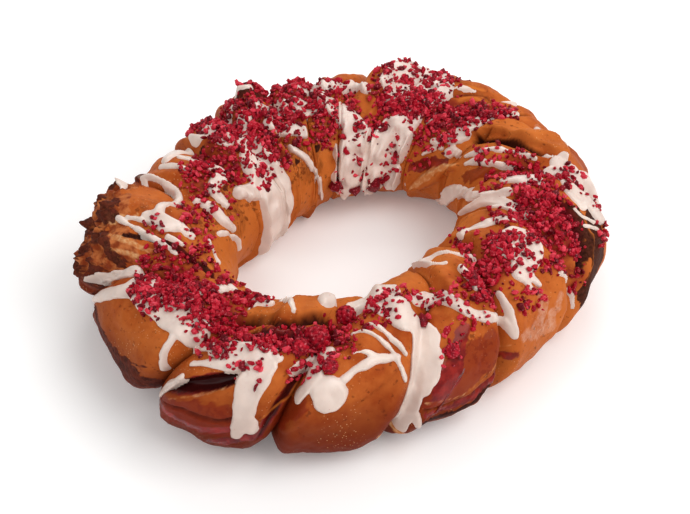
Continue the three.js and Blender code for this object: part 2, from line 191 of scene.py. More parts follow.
def inside_line(points, knots, beyond=6):
    """How far points lie inside a line on the skin, in millimetres. Outside it is negative, and
    farther out than the distance beyond it is not looked at."""
    line = smooth_line(knots)
    ring, rope, width = line.T
    middle = on_rope(ring, *rope_direction(rope), bare_skin(ring, rope))
    room = width.max() + beyond
    near = np.all((points > middle.min(0) - room) & (points < middle.max(0) + room), axis=-1)
    inside = np.full(points.shape[:-1], -float(beyond))
    for place, half in zip(middle, width):
        distance = np.linalg.norm(points[near] - place, axis=-1)
        inside[near] = np.maximum(inside[near], half - distance)
    return inside


def waves(points, size, seed, count=12):
    """An uneven field: the sum of sines in seeded directions, each about one size long."""
    draw = np.random.default_rng(seed)
    heading = draw.normal(size=(count, 3))
    heading /= np.linalg.norm(heading, axis=1)[:, None]
    heading *= (2 * np.pi / (size * draw.uniform(0.7, 1.4, count)))[:, None]
    return np.sin(points @ heading.T + draw.uniform(0, 7, count)).sum(-1) / np.sqrt(count / 2)


def rippled(points, fields):
    """The sum of several fields of waves, each with its height, size and seed."""
    return sum(height * waves(points, size, seed) for height, size, seed in fields)


print("a smooth line has", len(smooth_line([(0, 90, 2), (5, 80, 2), (9, 90, 2)])), "places")

# %% [markdown]
# ## What the oven did to the skin
#
# The crust is golden where it is smooth. Jam has run over some lobes, the cut layers show dark
# filling, torn edges stay pale, and thin icing was wiped over some places. Each of these is a mark:
# a set of lines, whose edges wander a little. A painted picture could hold them, but marks on the
# mesh need no file and follow the lines that shape the dough. The material reads them by name.

# %% Marks on the dough
MARKS = {
    "jam": [
        [(235, 14, 2.5), (238, 21, 4.6), (243, 29, 5.4), (247, 36, 4.4), (249, 41, 2.5)],
        [(232, -5, 1.4), (236, -6, 2.2), (240, -9, 2.4), (245, -6, 2.4), (249, 0, 2)],
        [(243, -22, 2.4), (247, -15, 3), (252, -4, 2.4)],
        [(253, -6, 3), (255, 12, 4.4), (257, 27, 4.6), (259, 44, 3.4)],
        [(300, 46, 3), (296, 33, 5), (293, 20, 6.5), (290, 9, 6)],
        [(286, -5, 2), (292, -12, 2.6), (298, -11, 2.8), (304, -3, 2.6), (312, 4, 2.2)],
        [(52, 128, 4), (48, 108, 5), (46, 90, 4)],
        [(59, 172, 4), (52, 166, 4.5), (45, 160, 3.5)],
        [(247, 68, 4), (253, 74, 6), (259, 72, 7), (264, 82, 6)],
        [(58, 138, 3), (53, 130, 5), (48, 118, 5), (45, 104, 4)],
        [(58, 126, 6), (53, 114, 7), (47, 98, 6)],
        [(43, 118, 1.8), (42, 98, 2.4), (41, 80, 2.6), (40, 62, 2.6)],
    ],
    "cocoa": [
        [(355, 56, 4), (353, 42, 6), (351, 28, 8), (348, 15, 8), (344, 8, 7), (341, 0, 6)],
        [(360, 28, 4), (357, 18, 7), (354, 6, 9), (349, -6, 10), (343, -10, 8)],
        [(359, 38, 4), (355, 29, 7), (351, 20, 8), (346, 9, 8), (341, 0, 6)],
        [(356, 64, 3.4), (352, 50, 5), (348, 38, 5.4), (345, 27, 4.8), (342, 18, 3)],
        [(198, 64, 1.6), (201, 79, 2.4), (205, 96, 2.8), (210, 110, 2.8), (220, 128, 2)],
        [(285, -14, 2), (292, -26, 3.6), (297, -22, 3.6), (303, -12, 2.8)],
        [(117, 99, 4)], [(130, 110, 3.4)], [(123, 148, 2.4)], [(108, 146, 2.4)], [(151, 74, 3)],
        [(125, 54, 5), (121, 64, 9), (117, 56, 5)],
    ],
    "golden": [
        [(354, 38, 0.7), (352, 32, 0.9), (350, 24, 1), (345, 17, 1), (342, 10, 0.8)],
        [(201, 107, 0.9), (207, 118, 1.1), (213, 126, 1.1), (220, 134, 0.8)],
        [(254, 12, 0.5), (256, 19, 0.7), (258, 23, 0.5)],
        [(36, 132, 1.6), (30, 126, 2), (26, 116, 1.8), (22, 109, 1.4)],
        [(59, 80, 1), (56, 68, 1.4), (53, 58, 1.4)], [(56, 88, 1), (54, 77, 1.2), (51, 68, 1)],
    ],
    "glazed": [
        [(232, -6, 9), (240, 0, 12), (249, 4, 9)], [(288, 8, 8), (297, 16, 13), (306, 22, 8)],
        [(58, 128, 6), (52, 118, 9), (47, 106, 7)], [(28, 152, 4), (23, 138, 5), (19, 122, 4)],
        [(256, 6, 6), (260, 22, 6)],
    ],
    "pale": [
        [(234, 5, 0.5), (238, 14, 0.7), (242, 20, 0.8), (245, 26, 0.8), (249, 34, 0.6)],
        [(286, 5, 0.6), (290, 3, 0.8), (295, -4, 0.8), (304, 5, 0.8), (312, 12, 0.6)],
        [(59, 191, 1.6), (54, 181, 2.6), (49, 171, 2.8), (44, 162, 2.2), (38, 153, 1.2)],
        [(194, 50, 1.5), (197, 56, 1.9), (200, 64, 1.8), (203, 73, 1.6), (206, 85, 1)],
        [(198, 46, 1.5), (201, 56, 1.8), (204, 68, 1.5), (207, 76, 1)],
        [(190, 52, 2.6), (192, 62, 2.8), (193, 74, 1.8)], [(186, 48, 2)], [(196, -8, 2.4)],
        [(276, -16, 2), (279, -24, 4), (282, -36, 4)],
    ],
    "burnt": [
        [(187, 50, 8.5)], [(185, 26, 8)], [(183, 11, 8)], [(194, 41, 8)], [(198, 28, 7), (196, 8, 9)],
        [(176, 46, 6)], [(201, 14, 6.5)], [(190, 4, 9)], [(167, 40, 4.4)], [(179, 36, 5)], [(192, 22, 6)],
        [(198, 47, 4), (203, 52, 3)],
        [(121, 58, 6)],
        [(206, 8, 4), (209, -2, 7), (213, -6, 9), (218, -7, 10), (224, -2, 9), (228, -5, 7)],
        [(221, 7, 1), (227, 16, 1.2), (230, 20, 0.8)], [(259, 11, 1.1)], [(320, 12, 1.2)],
        [(272, 35, 1)], [(169, 131, 2)], [(277, -13, 1.2)], [(241, 18, 0.8)], [(247, 22, 0.9)],
    ],
    "wiped": [
        [(325, 36, 2.4), (326, 26, 4.4), (324, 15, 6), (320, 12, 4.5)],
        [(332, 18, 2.4), (329, 10, 4), (325, 4, 4)], [(316, 14, 4), (321, 6, 6), (327, 0, 5)],
        [(34, 52, 2.6), (31, 44, 3.4), (26, 46, 3.4), (22, 48, 2)],
        [(168, 44, 1.6), (171, 62, 2), (174, 84, 1.6)],
    ],
    "torn": [[(176, 58, 6), (182, 40, 12), (188, 28, 16), (195, 20, 15), (201, 36, 10)],
             [(184, 60, 5), (192, 58, 8), (199, 58, 8), (203, 64, 4)]],
    "mottled": [[(112, 120, 12), (124, 140, 16), (140, 140, 16), (156, 130, 20), (170, 130, 20),
                 (184, 140, 14), (196, 130, 10)], [(232, -4, 8), (242, 0, 12), (250, 4, 8)],
                [(300, 34, 6), (303, 16, 9), (305, 4, 7)]],
    "layered": [
        [(232, -14, 4), (240, -18, 7), (250, -12, 6)],
        [(286, -10, 3), (294, -18, 5), (304, -8, 5), (313, 2, 3)],
        [(62, 84, 6), (54, 70, 8), (48, 58, 6)],
        [(110, 70, 8), (104, 96, 10), (100, 130, 8)],
        [(188, 84, 6), (196, 92, 8), (206, 104, 8), (214, 118, 6)],
        [(170, 120, 8), (176, 140, 9), (182, 160, 8)],
        [(122, 100, 8), (118, 130, 9), (114, 160, 8)],
    ],
}
# Height and size in millimetres, and seed.
MARK_WAVES = [(0.8, 9, 20), (0.5, 3, 21)]
# The half width from which an edge wanders fully, and the width over which it fades, in millimetres.
FULL_WANDER, MARK_FADE = 4, 1.6


def marks_of(points, kind):
    """How strongly a mark shows at points: 1 inside its lines, with an edge that wanders."""
    wander = rippled(points, MARK_WAVES)
    inside = np.max([inside_line(points, line) + wander * min(1, line[0][HALF_WIDTH] / FULL_WANDER)
                     for line in MARKS[kind]], axis=0)
    return np.clip(0.5 + inside / MARK_FADE, 0, 1)


print("marks:", {kind: len(lines) for kind, lines in MARKS.items()})

# %% [markdown]
# ## The dough's relief
#
# Risen dough is never even. Long waves make it lumpy, and where the roll was cut the layers have
# opened into pockets and slits, with jam inside and pale dough at the edge. One end was torn and
# burnt into crags. Sculpting could make them, but here each is a line on the skin with a depth or
# a height, and the same function gives the relief to the dough, to the icing that lies on it and
# to the crumbs.

# %% Slits, ridges and crags
# Each has a depth or a height in millimetres, and its line. A ridge below 0 is a hollow.
SLITS = [
    (8.0, [(234, 12, 1.5), (238, 21, 3.6), (243, 29, 4.4), (247, 36, 3.4), (249, 41, 1.5)]),
    (2.6, [(232, -2, 0.9), (237, 5, 1.1), (242, 4, 1.2), (247, 4, 1.1), (250, 12, 0.8)]),
    (3.0, [(253, -6, 2), (255, 12, 3.4), (257, 27, 3.6), (259, 44, 2.4)]),
    (6.0, [(241, 84, 0.9), (245, 93, 1.6), (249, 90, 2.2), (252, 83, 2.6), (256, 87, 2.4), (260, 91, 2.2),
           (264, 97, 1.3)]),
    (4.5, [(247, 74, 3.4), (251, 69, 5), (255, 69, 5.5), (260, 73, 5), (265, 84, 3.6)]),
    (9.0, [(356, 64, 2), (352, 50, 3.6), (348, 38, 4), (345, 27, 3.4), (342, 18, 1.6)]),
    (9.0, [(40, 125, 2), (36, 119, 3.4), (33, 112, 4), (29, 104, 4), (26, 97, 3.2), (23, 90, 2.2),
           (20, 85, 1.4), (18, 72, 1)]),
    (5.0, [(43, 116, 1.6), (42, 98, 2.4), (41, 80, 2.8), (40, 62, 3), (39, 44, 3)]),
    (2.4, [(58, 90, 1), (54, 71, 1.2), (51, 56, 1.2), (45, 58, 0.8)]),
    (2.4, [(51, 126, 1), (48, 108, 1.4), (46, 92, 1.2)]),
    (4.0, [(198, 64, 0.9), (201, 79, 1.5), (205, 96, 1.8), (210, 110, 1.8), (220, 128, 1.2)]),
    (2.2, [(286, -1, 0.9), (292, -6, 1.1), (298, -8, 1.1), (304, 0, 1.1), (311, 6, 0.9)]),
    (1.5, [(271, 18, 0.5), (276, 27, 0.9), (281, 38, 0.5)]),
]
FLAPS = [
    (5.0, [(40, 119, 1.5), (39, 107, 3.5), (37, 92, 5.5), (33, 84, 8), (29, 78, 9.5), (25, 70, 9),
           (21, 64, 7), (17, 57, 3)]),
    (4.0, [(241, 88, 1.4), (244, 99, 3.6), (247, 107, 6.5), (251, 105, 8), (256, 104, 8), (262, 111, 8)]),
]
RIDGES = [
    (4.4, [(60, 195, 2.6), (54, 185, 4.2), (49, 175, 4.4), (44, 165, 3.6), (38, 155, 2)]),
    (2.2, [(351, 29, 1.6), (347, 22, 1.6), (343, 14, 1.6), (340, 7, 1.2)]),
    (2.0, [(254, -10, 3), (258, 4, 4), (262, 21, 3)]),
    (-3.0, [(188, 2, 7), (195, -2, 9), (202, 2, 7)]),
]
CRAGS = [
    (2.8, [(187, 49, 7)]), (2.4, [(185, 26, 7)]), (1.8, [(183, 11, 7)]), (3.0, [(194, 41, 7)]),
    (2.4, [(198, 28, 7), (196, 8, 8)]), (2.4, [(176, 46, 6)]), (2.0, [(201, 14, 6)]),
    (1.6, [(190, 4, 8)]), (1.4, [(167, 40, 5)]), (3.0, [(122, 60, 9), (117, 58, 6)]), (2.0, [(192, 22, 6)]),
]
TORN = [(176, 56, 7), (182, 36, 13), (188, 26, 17), (196, 18, 16), (200, 36, 11)]
print("slits:", len(SLITS), "flaps:", len(FLAPS), "ridges:", len(RIDGES), "crags:", len(CRAGS))

# %% Soft dough in the creases
CREASE_BLEND, HOLE_BLEND, FLAP_BLEND, BACK_BLEND = 5.0, 28.0, 16.0, 10.0
SOFT_BACK = 122.0
SETTLED, SETTLED_AT_HOLE = 0.3, 0.65
DIP_DEPTH, DIP_WIDTH, DIP_SPARED = 2.2, 2.6, 0.8


def flap_mask(points):
    """1 on the flaps, where one smooth roll of dough lies over the crease, and 0 outside them."""
    return soft_step(np.max([inside_line(points, line) for _, line in FLAPS], axis=0) / 2 + 0.5)


def crease_blend(ring, out, flap):
    """How wide a crease is filled by soft dough: more on the hole side, at the back and under a
    flap."""
    back = np.clip(np.cos(np.radians(ring - SOFT_BACK)), 0, 1) ** 2
    return CREASE_BLEND + HOLE_BLEND * np.clip(-out, 0, 1) + FLAP_BLEND * flap + BACK_BLEND * back


def flow_together(overlap, blend):
    """How far the skin rises where the two strands' reaches differ by less than the blend."""
    return 0.25 * blend * np.clip(1 - np.abs(overlap) / blend, 0, 1) ** 2


def settle(ring, out, reach, strand):
    """How far the plain strand's corners sink in the oven: a share of what stands out beyond the
    reach of the lobe's crest, and most of it on the hole side."""
    crest = swell(ring, strand) * (STRAND["offset"] + STRAND["reach"])
    return -(SETTLED + SETTLED_AT_HOLE * np.clip(-out, 0, 1)) * np.maximum(reach - crest, 0)


def in_crease(overlap, out, flap, width, spared):
    """1 in the crease between the strands, fading over a width by a bell curve: less on the hole
    side, by the share that is spared there, and 0 under a flap."""
    return np.exp(-(overlap / width) ** 2) * (1 - flap) * (1 - spared * np.clip(-out, 0, 1))


def crease_dip(overlap, out, flap):
    """How far the skin sinks into the groove between the strands."""
    return -DIP_DEPTH * in_crease(overlap, out, flap, DIP_WIDTH, DIP_SPARED)


print("a crease is blended over", CREASE_BLEND, "to", CREASE_BLEND + HOLE_BLEND, "mm")

# %% The relief itself
# Height and size in millimetres, and seed.
DOUGH_WAVES = [(0.55, 40, 1), (0.3, 15, 2), (0.1, 5, 3)]
TORN_WAVES = [(0.9, 7, 8), (0.45, 4, 6)]


def layer_stripes(points, strand_angle):
    """Thin layers along the strand: a sine of the strand's own angle, bent by waves."""
    return np.sin(np.degrees(strand_angle) * 1.1 + waves(points, 18, 7))


def torn_share(points):
    """1 on the torn end of the rope, fading to 0 outside it."""
    return soft_step(inside_line(points, TORN) / 6 + 0.5)


def crag_lumps(points):
    """Sharp lumps: the folds of one field of waves, with a finer field over them."""
    return 0.7 - np.abs(waves(points, 16, 4)) + 0.4 * waves(points, 6, 5)


def slit_depth(points):
    """How deep the slits are at points, with banks that lie flatter where a slit is deep."""
    sunk = np.zeros(points.shape[:-1])
    for depth, line in SLITS:
        sunk += depth * soft_step(inside_line(points, line) / max(1.6, 0.45 * depth) + 0.35)
    return sunk


def raised(points, lines, bank, edge):
    """The summed heights of lines, each rising over a bank, with a share of it at the line's edge."""
    return sum(height * soft_step(inside_line(points, line) / bank + edge) for height, line in lines)


def dough_relief(points, strand_angle):
    """How far the baked skin stands out of the plain strand: waves, then slits, flaps and ridges by
    their lines, thin layers along the strand, and crags where it was torn."""
    relief = rippled(points, DOUGH_WAVES)
    relief += raised(points, FLAPS, 2, 0.5) + raised(points, RIDGES, 3, 0.4)
    torn, lumps = torn_share(points), crag_lumps(points)
    relief += torn * (1.5 * lumps + rippled(points, TORN_WAVES))
    relief += raised(points, CRAGS, 4, 0.2) * (1 + 0.3 * lumps)
    layers = soft_step(marks_of(points, "layered"))
    relief += 0.45 * layers * layer_stripes(points, strand_angle)
    return relief - slit_depth(points)


front_top = bare_skin(np.float64(267), np.float64(90))
front_top = on_rope(np.float64(267), *rope_direction(90), front_top)
print("relief on the front lobe:", np.round(dough_relief(front_top[None], np.zeros(1)), 2), "mm")

# %% [markdown]
# ## Where the crumbs were strewn
#
# The raspberry was strewn by hand, so it lies in heaps and thins out between them. The heaps could
# be painted as weights on the mesh, but as lines they stay apart from any grid: the crust, the
# icing and the scatter all ask the same function. Each heap is the share of the skin that it
# covers, and its line.

# %% Crumb heaps
CRUMB_HEAPS = [
    (0.4, [(209, 108, 6), (214, 112, 7), (218, 118, 5)]), (0.12, [(202, 104, 6), (207, 98, 6)]),
    (0.85, [(217, 98, 9), (228, 90, 11), (236, 84, 9)]), (0.5, [(209, 92, 7), (213, 88, 8)]),
    (0.6, [(208, 74, 6), (215, 72, 8), (223, 76, 8)]), (0.5, [(222, 138, 7)]),
    (0.9, [(216, 60, 5), (222, 66, 7)]), (0.8, [(222, 77, 7), (228, 78, 7)]),
    (0.88, [(234, 73, 7), (240, 82, 6)]), (0.2, [(199, 90, 6)]), (0.2, [(178, 140, 6)]),
    (0.4, [(211, 126, 6)]), (0.55, [(235, 100, 5), (240, 108, 6), (243, 116, 5)]),
    (0.5, [(236, 62, 4), (240, 54, 6), (245, 56, 6)]),
    (0.7, [(246, 68, 5), (251, 66, 6), (257, 68, 7), (263, 76, 8), (268, 90, 7)]),
    (0.6, [(267, 80, 6), (268, 66, 6)]), (0.5, [(264, 54, 5), (259, 48, 6)]),
    (0.3, [(274, 84, 9), (280, 96, 9), (290, 92, 7)]), (0.25, [(247, 54, 7), (252, 40, 6)]),
    (0.4, [(299, 50, 3), (295, 41, 3), (292, 31, 2)]), (0.3, [(301, 50, 4), (306, 47, 4)]),
    (0.65, [(311, 54, 6), (314, 62, 6)]), (0.82, [(313, 72, 8), (320, 76, 9), (328, 82, 9)]),
    (0.35, [(330, 84, 8), (337, 70, 10), (330, 62, 8)]),
    (0.42, [(333, 128, 4), (331, 122, 5), (326, 106, 7)]),
    (0.32, [(303, 70, 6), (300, 92, 6), (293, 92, 6)]),
    (0.88, [(358, 92, 6), (356, 76, 8), (353, 63, 8), (350, 52, 8), (347, 42, 7), (345, 33, 5)]),
    (0.85, [(351, 90, 7), (347, 76, 10), (345, 60, 11), (343, 42, 8)]),
    (0.28, [(318, 44, 6), (324, 32, 5)]),
    (0.6, [(335, 42, 4), (340, 26, 4), (342, 16, 4), (339, 8, 3)]),
    (0.54, [(20, 106, 7), (15, 90, 8), (10, 80, 8), (2, 84, 8)]), (0.55, [(11, 58, 6), (6, 52, 6)]),
    (0.2, [(10, 44, 8), (4, 36, 8)]), (0.25, [(12, 128, 9), (4, 118, 9), (30, 128, 6)]),
    (0.3, [(348, 106, 8), (344, 96, 8)]), (0.4, [(354, 22, 3), (359, 12, 3)]),
    (0.3, [(22, 132, 6), (20, 118, 6)]), (0.7, [(46, 118, 7), (43, 98, 8), (41, 80, 6)]),
    (0.7, [(60, 116, 9), (54, 106, 10), (49, 98, 8)]),
    (0.92, [(78, 112, 8), (70, 118, 10), (64, 116, 10), (59, 110, 8)]),
    (0.5, [(78, 88, 7), (74, 84, 7)]), (0.45, [(77, 74, 9), (70, 62, 9), (62, 78, 9)]),
    (0.52, [(54, 140, 8), (49, 134, 8)]), (0.35, [(58, 162, 7), (54, 156, 7)]),
    (0.7, [(82, 144, 8), (76, 142, 8)]), (0.4, [(69, 140, 10), (62, 144, 8)]),
    (0.42, [(92, 140, 8), (88, 146, 8)]), (0.42, [(87, 158, 10), (83, 174, 10)]),
    (0.36, [(73, 150, 8), (70, 172, 7)]), (0.8, [(82, 188, 8), (77, 188, 7)]),
    (0.75, [(102, 112, 8), (97, 122, 8), (91, 120, 8)]), (0.45, [(92, 184, 7)]), (0.25, [(68, 164, 8)]),
    (0.55, [(100, 84, 8), (95, 90, 8), (91, 90, 6)]), (0.62, [(102, 138, 7), (98, 138, 5)]),
    (0.55, [(104, 66, 12), (109, 76, 12)]), (0.32, [(115, 90, 12), (107, 98, 11)]),
    (0.4, [(114, 126, 7), (118, 130, 6)]), (0.5, [(118, 60, 9), (112, 50, 8)]),
    (0.62, [(116, 106, 10), (122, 104, 10), (128, 100, 9)]),
    (0.55, [(127, 84, 13), (134, 62, 14), (138, 40, 12)]), (0.95, [(139, 80, 10)]),
    (0.66, [(134, 104, 8), (140, 108, 7)]), (0.7, [(134, 118, 7), (134, 134, 7)]),
    (0.56, [(136, 86, 14), (146, 92, 12)]), (0.5, [(144, 120, 8), (152, 138, 8)]),
    (0.6, [(154, 98, 11), (156, 112, 10), (159, 118, 9)]), (0.52, [(166, 100, 8), (174, 110, 8)]),
    (0.3, [(182, 120, 8), (192, 124, 8), (201, 122, 8)]), (0.45, [(164, 126, 7)]),
]
# A heap begins this far outside its line and is full after the fade, in millimetres.
HEAP_REACH, HEAP_FADE = 6, 11


def crumb_cover(points):
    """How thickly crumbs lie at points: each heap's share, fading towards its edge and past it."""
    cover = np.zeros(points.shape[:-1])
    for share, line in CRUMB_HEAPS:
        inside = inside_line(points, line, 2 * HEAP_REACH)
        cover = np.maximum(cover, share * soft_step((inside + HEAP_REACH) / HEAP_FADE))
    return cover


print("crumb heaps:", len(CRUMB_HEAPS))

# %% [markdown]
# ## Shader arithmetic
#
# A baked crust needs many small sums of noise and marks. Writing them as Python expressions keeps
# them readable, where a graph drawn by hand would not be: one small class holds a socket, and each
# operator adds a Math node.

# %% A socket that can be used in sums
def colour(red, green, blue):
    """A colour as the eye reads it, 0 to 255, made linear for the shader."""
    share = np.array([red, green, blue]) / 255
    linear = np.where(share <= 0.04045, share / 12.92, ((share + 0.055) / 1.055) ** 2.4)
    return (*linear.tolist(), 1.0)


class Paint:
    """A shader socket with arithmetic; every other node comes from its node method."""

    def __init__(self, tree, socket):
        self.tree, self.socket = tree, socket

    def node(self, kind, settings=None, sockets=None, output=0):
        """Add a node of a kind: its settings, such as a ramp's stops, are set first, and then its
        sockets' values or links."""
        made = self.tree.nodes.new(kind)
        for key, value in (settings or {}).items():
            if key == "stops":
                for place, _ in value[2:]:
                    made.color_ramp.elements.new(place)
                for element, (place, shade) in zip(made.color_ramp.elements, value):
                    element.position, element.color = place, shade
            else:
                setattr(made, key, value)
        for key, value in (sockets or {}).items():
            if isinstance(value, Paint):
                self.tree.links.new(value.socket, made.inputs[key])
            else:
                made.inputs[key].default_value = value
        return Paint(self.tree, made.outputs[output] if made.outputs else None)

    def sum_of(self, operation, *values):
        """One Math node on values or links."""
        return self.node("ShaderNodeMath", {"operation": operation}, dict(enumerate(values)))

    def __add__(self, other):
        return self.sum_of("ADD", self, other)

    def __sub__(self, other):
        return self.sum_of("SUBTRACT", self, other)

    def __rsub__(self, other):
        return self.sum_of("SUBTRACT", other, self)

    def __mul__(self, other):
        return self.sum_of("MULTIPLY", self, other)

    __radd__, __rmul__ = __add__, __mul__

    def between(self, low, high):
        """0 where the value is at the low end, 1 at the high end, an S curve between."""
        return self.node("ShaderNodeMapRange", {"interpolation_type": "SMOOTHSTEP"},
                         {"Value": self, "From Min": low, "From Max": high})

    def noise(self, size, detail=3.0, rough=0.55):
        """Clouds about one size (in millimetres) across."""
        return self.node("ShaderNodeTexNoise", {}, {"Vector": self, "Scale": 1 / (size * MM),
                                                    "Detail": detail, "Roughness": rough})

    def mixed(self, first, second):
        """The first colour where this value is 0, the second where it is 1."""
        return self.node("ShaderNodeMix", {"data_type": "RGBA"}, {0: self, 6: first, 7: second}, 2)

    def ramp(self, tones):
        """The colour of a ramp at this value, between tones that stand at shares of it."""
        stops = [(share, colour(*tone)) for share, tone in tones]
        return self.node("ShaderNodeValToRGB", {"stops": stops}, {0: self})

    def bump(self, strength, depth):
        """A bump of this height, with a depth in millimetres."""
        return self.node("ShaderNodeBump", {}, {"Strength": strength, "Distance": depth * MM,
                                                "Height": self})

    def attribute(self, name):
        """A mark of the mesh, by its name."""
        return self.node("ShaderNodeAttribute", {"attribute_name": name}, {}, 2)


print("golden crust in linear light:", np.round(colour(197, 104, 48), 3))

# %% Starting and ending a finish
def new_finish(name):
    """An empty material, and the object coordinates that its patterns read."""
    material = bpy.data.materials.new(name)
    material.use_nodes = True
    material.node_tree.nodes.clear()
    start = Paint(material.node_tree, None)
    return material, start.node("ShaderNodeTexCoord", {}, {}, 3)


def surface(material, start, sockets):
    """Ends a material with one Principled surface."""
    shader = start.node("ShaderNodeBsdfPrincipled", {}, sockets)
    start.node("ShaderNodeOutputMaterial", {}, {"Surface": shader})
    return material


print("materials before the first finish:", len(bpy.data.materials))

# %% [markdown]
# ## Meshes from arrays
#
# Every piece is worked out as whole arrays of points and faces, and most of them are grids or tubes.
# Each point could be added on its own, but whole arrays are much faster. One function puts them into
# a mesh, turns the faces outward by the sign of the enclosed volume, and hands the piece to the frame.

# %% Faces of grids and tubes
def squares(index):
    """Squares between the neighbours in a grid of point numbers."""
    corners = [index[:-1, :-1], index[:-1, 1:], index[1:, 1:], index[1:, :-1]]
    return np.stack(corners, -1).reshape(-1, 4)


def tube_faces(rows, sides):
    """Squares round a tube of rows and sides, and at each end a fan of triangles to one more point."""
    index = np.arange(rows * sides).reshape(rows, sides)
    index = np.hstack([index, index[:, :1]])
    first = np.stack([index[0, 1:], index[0, :-1], np.full(sides, rows * sides)], -1)
    last = np.stack([index[-1, :-1], index[-1, 1:], np.full(sides, rows * sides + 1)], -1)
    return [squares(index), np.concatenate([first, last])]


print("squares and triangles of a tube:", [len(part) for part in tube_faces(rows=4, sides=3)])

# %% From arrays to a piece
def enclosed(points, faces):
    """Six times the volume inside the faces: positive where they point outward."""
    first, second, third = points[faces[:, 0]], points[faces[:, 1]], points[faces[:, 2]]
    volume = np.einsum("ij,ij->", first, np.cross(second, third))
    if faces.shape[1] == 4:
        fourth = points[faces[:, 3]]
        volume += np.einsum("ij,ij->", first, np.cross(third, fourth))
    return volume


def placed(name, data):
    """A new object in the scene, with a mesh, a lamp or a camera."""
    made = bpy.data.objects.new(name, data)
    bpy.context.scene.collection.objects.link(made)
    return made


def piece(name, points, faces, material, node=None, marks=None, smooth=True):
    """A closed mesh, in millimetres, as an object that rides on the frame. Faces are arrays of
    three or four corners each."""
    if sum(enclosed(points, part) for part in faces) < 0:
        faces = [part[:, ::-1] for part in faces]
    mesh = bpy.data.meshes.new(name)
    mesh.from_pydata((points * MM).tolist(), [], [face for part in faces for face in part.tolist()])
    for mark, values in (marks or {}).items():
        field = mesh.attributes.new(mark, "FLOAT", "POINT")
        field.data.foreach_set("value", np.ascontiguousarray(values, np.float32))
    mesh.polygons.foreach_set("use_smooth", np.full(len(mesh.polygons), smooth))
    mesh.materials.append(material)
    mesh.update()
    made = placed(name, mesh)
    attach(made, "root")
    if node:
        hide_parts(node)
    triangles = sum(len(part) * (part.shape[1] - 2) for part in faces)
    print(f"{name}: {triangles} triangles")
    return made


corner = np.vstack([np.zeros(3), np.eye(3)])
sides = np.array([[0, 2, 1], [0, 1, 3], [0, 3, 2], [1, 2, 3]])
print("six times the volume of a unit corner:", enclosed(corner, sides))

# %% [markdown]
# ## The crust
#
# Egg-washed crust is golden brown with a soft sheen, darker in clouds and low down, and dusted
# with tiny pale and dark specks. Painted shade darkens it in the creases, in the slits and low on
# the outer side, and painted light brightens it round the hole and on the flaps. A picture wrapped
# round the ring could show that, but would stretch over the lobes. Clouds of noise in space do
# not, and the marks tell them where to change.

# %% The plain crust
CRUST_TONES = [(0.26, (118, 38, 13)), (0.5, (162, 71, 25)), (0.7, (195, 103, 44))]


def baked_tone(place, specks, blotch):
    """Clouds of gold and brown, lighter higher up, then the marks one over the other: painted shade
    low on the outer side, painted light at the hole, on the flaps and low on the lit side, dark
    specks, layers, pale dots, and painted shade in the creases with some jam stain."""
    height_up = place.node("ShaderNodeSeparateXYZ", {}, {0: place}, 2)
    clouds = place.noise(30, 4) * 0.7 + blotch * 0.3 - 0.2 + height_up.between(2 * MM, 38 * MM) * 0.3
    tone = clouds.ramp(CRUST_TONES)
    # Painted shade: darker low on the rope's outer side, most on the shaded side.
    tone = (place.attribute("under") * 0.85).mixed(tone, colour(100, 29, 11))
    # Painted light: lighter round the hole, on the flaps and low on the lit side.
    tone = (place.attribute("light") * 0.6).mixed(tone, colour(205, 116, 50))
    dark_specks = (specks + place.attribute("mottled") * 0.13).between(0.6, 0.72)
    tone = (dark_specks * 0.6).mixed(tone, colour(88, 34, 12))
    layers = place.attribute("layered") * blotch.between(0.3, 0.6)
    tone = (layers * 0.6).mixed(tone, colour(96, 36, 14))
    dots = place.node("ShaderNodeTexVoronoi", {}, {"Vector": place, "Scale": 1 / (1.7 * MM)})
    pale_dots = (1 - dots.between(0.1, 0.2)) * place.noise(22, 2).between(0.5, 0.62)
    tone = (pale_dots * 0.5).mixed(tone, colour(236, 190, 138))
    # Painted shade in the creases, with some jam stain in it.
    return (place.attribute("crease") * 0.7).mixed(tone, colour(84, 24, 10))


print("tones of the crust:", CRUST_TONES)

# %% [markdown]
# ## Jam, cocoa and burnt crust
#
# Jam makes the crust dark red and glossy, and a thin glaze of it only darker. The cocoa layers are
# nearly black and porous, burnt places are matt black-brown, torn dough is pale, and wiped icing
# leaves a film. Separate materials could show them, but they run into each other, so it is one
# material: each mark's edge is broken up by noise, and its colour covers what was there.

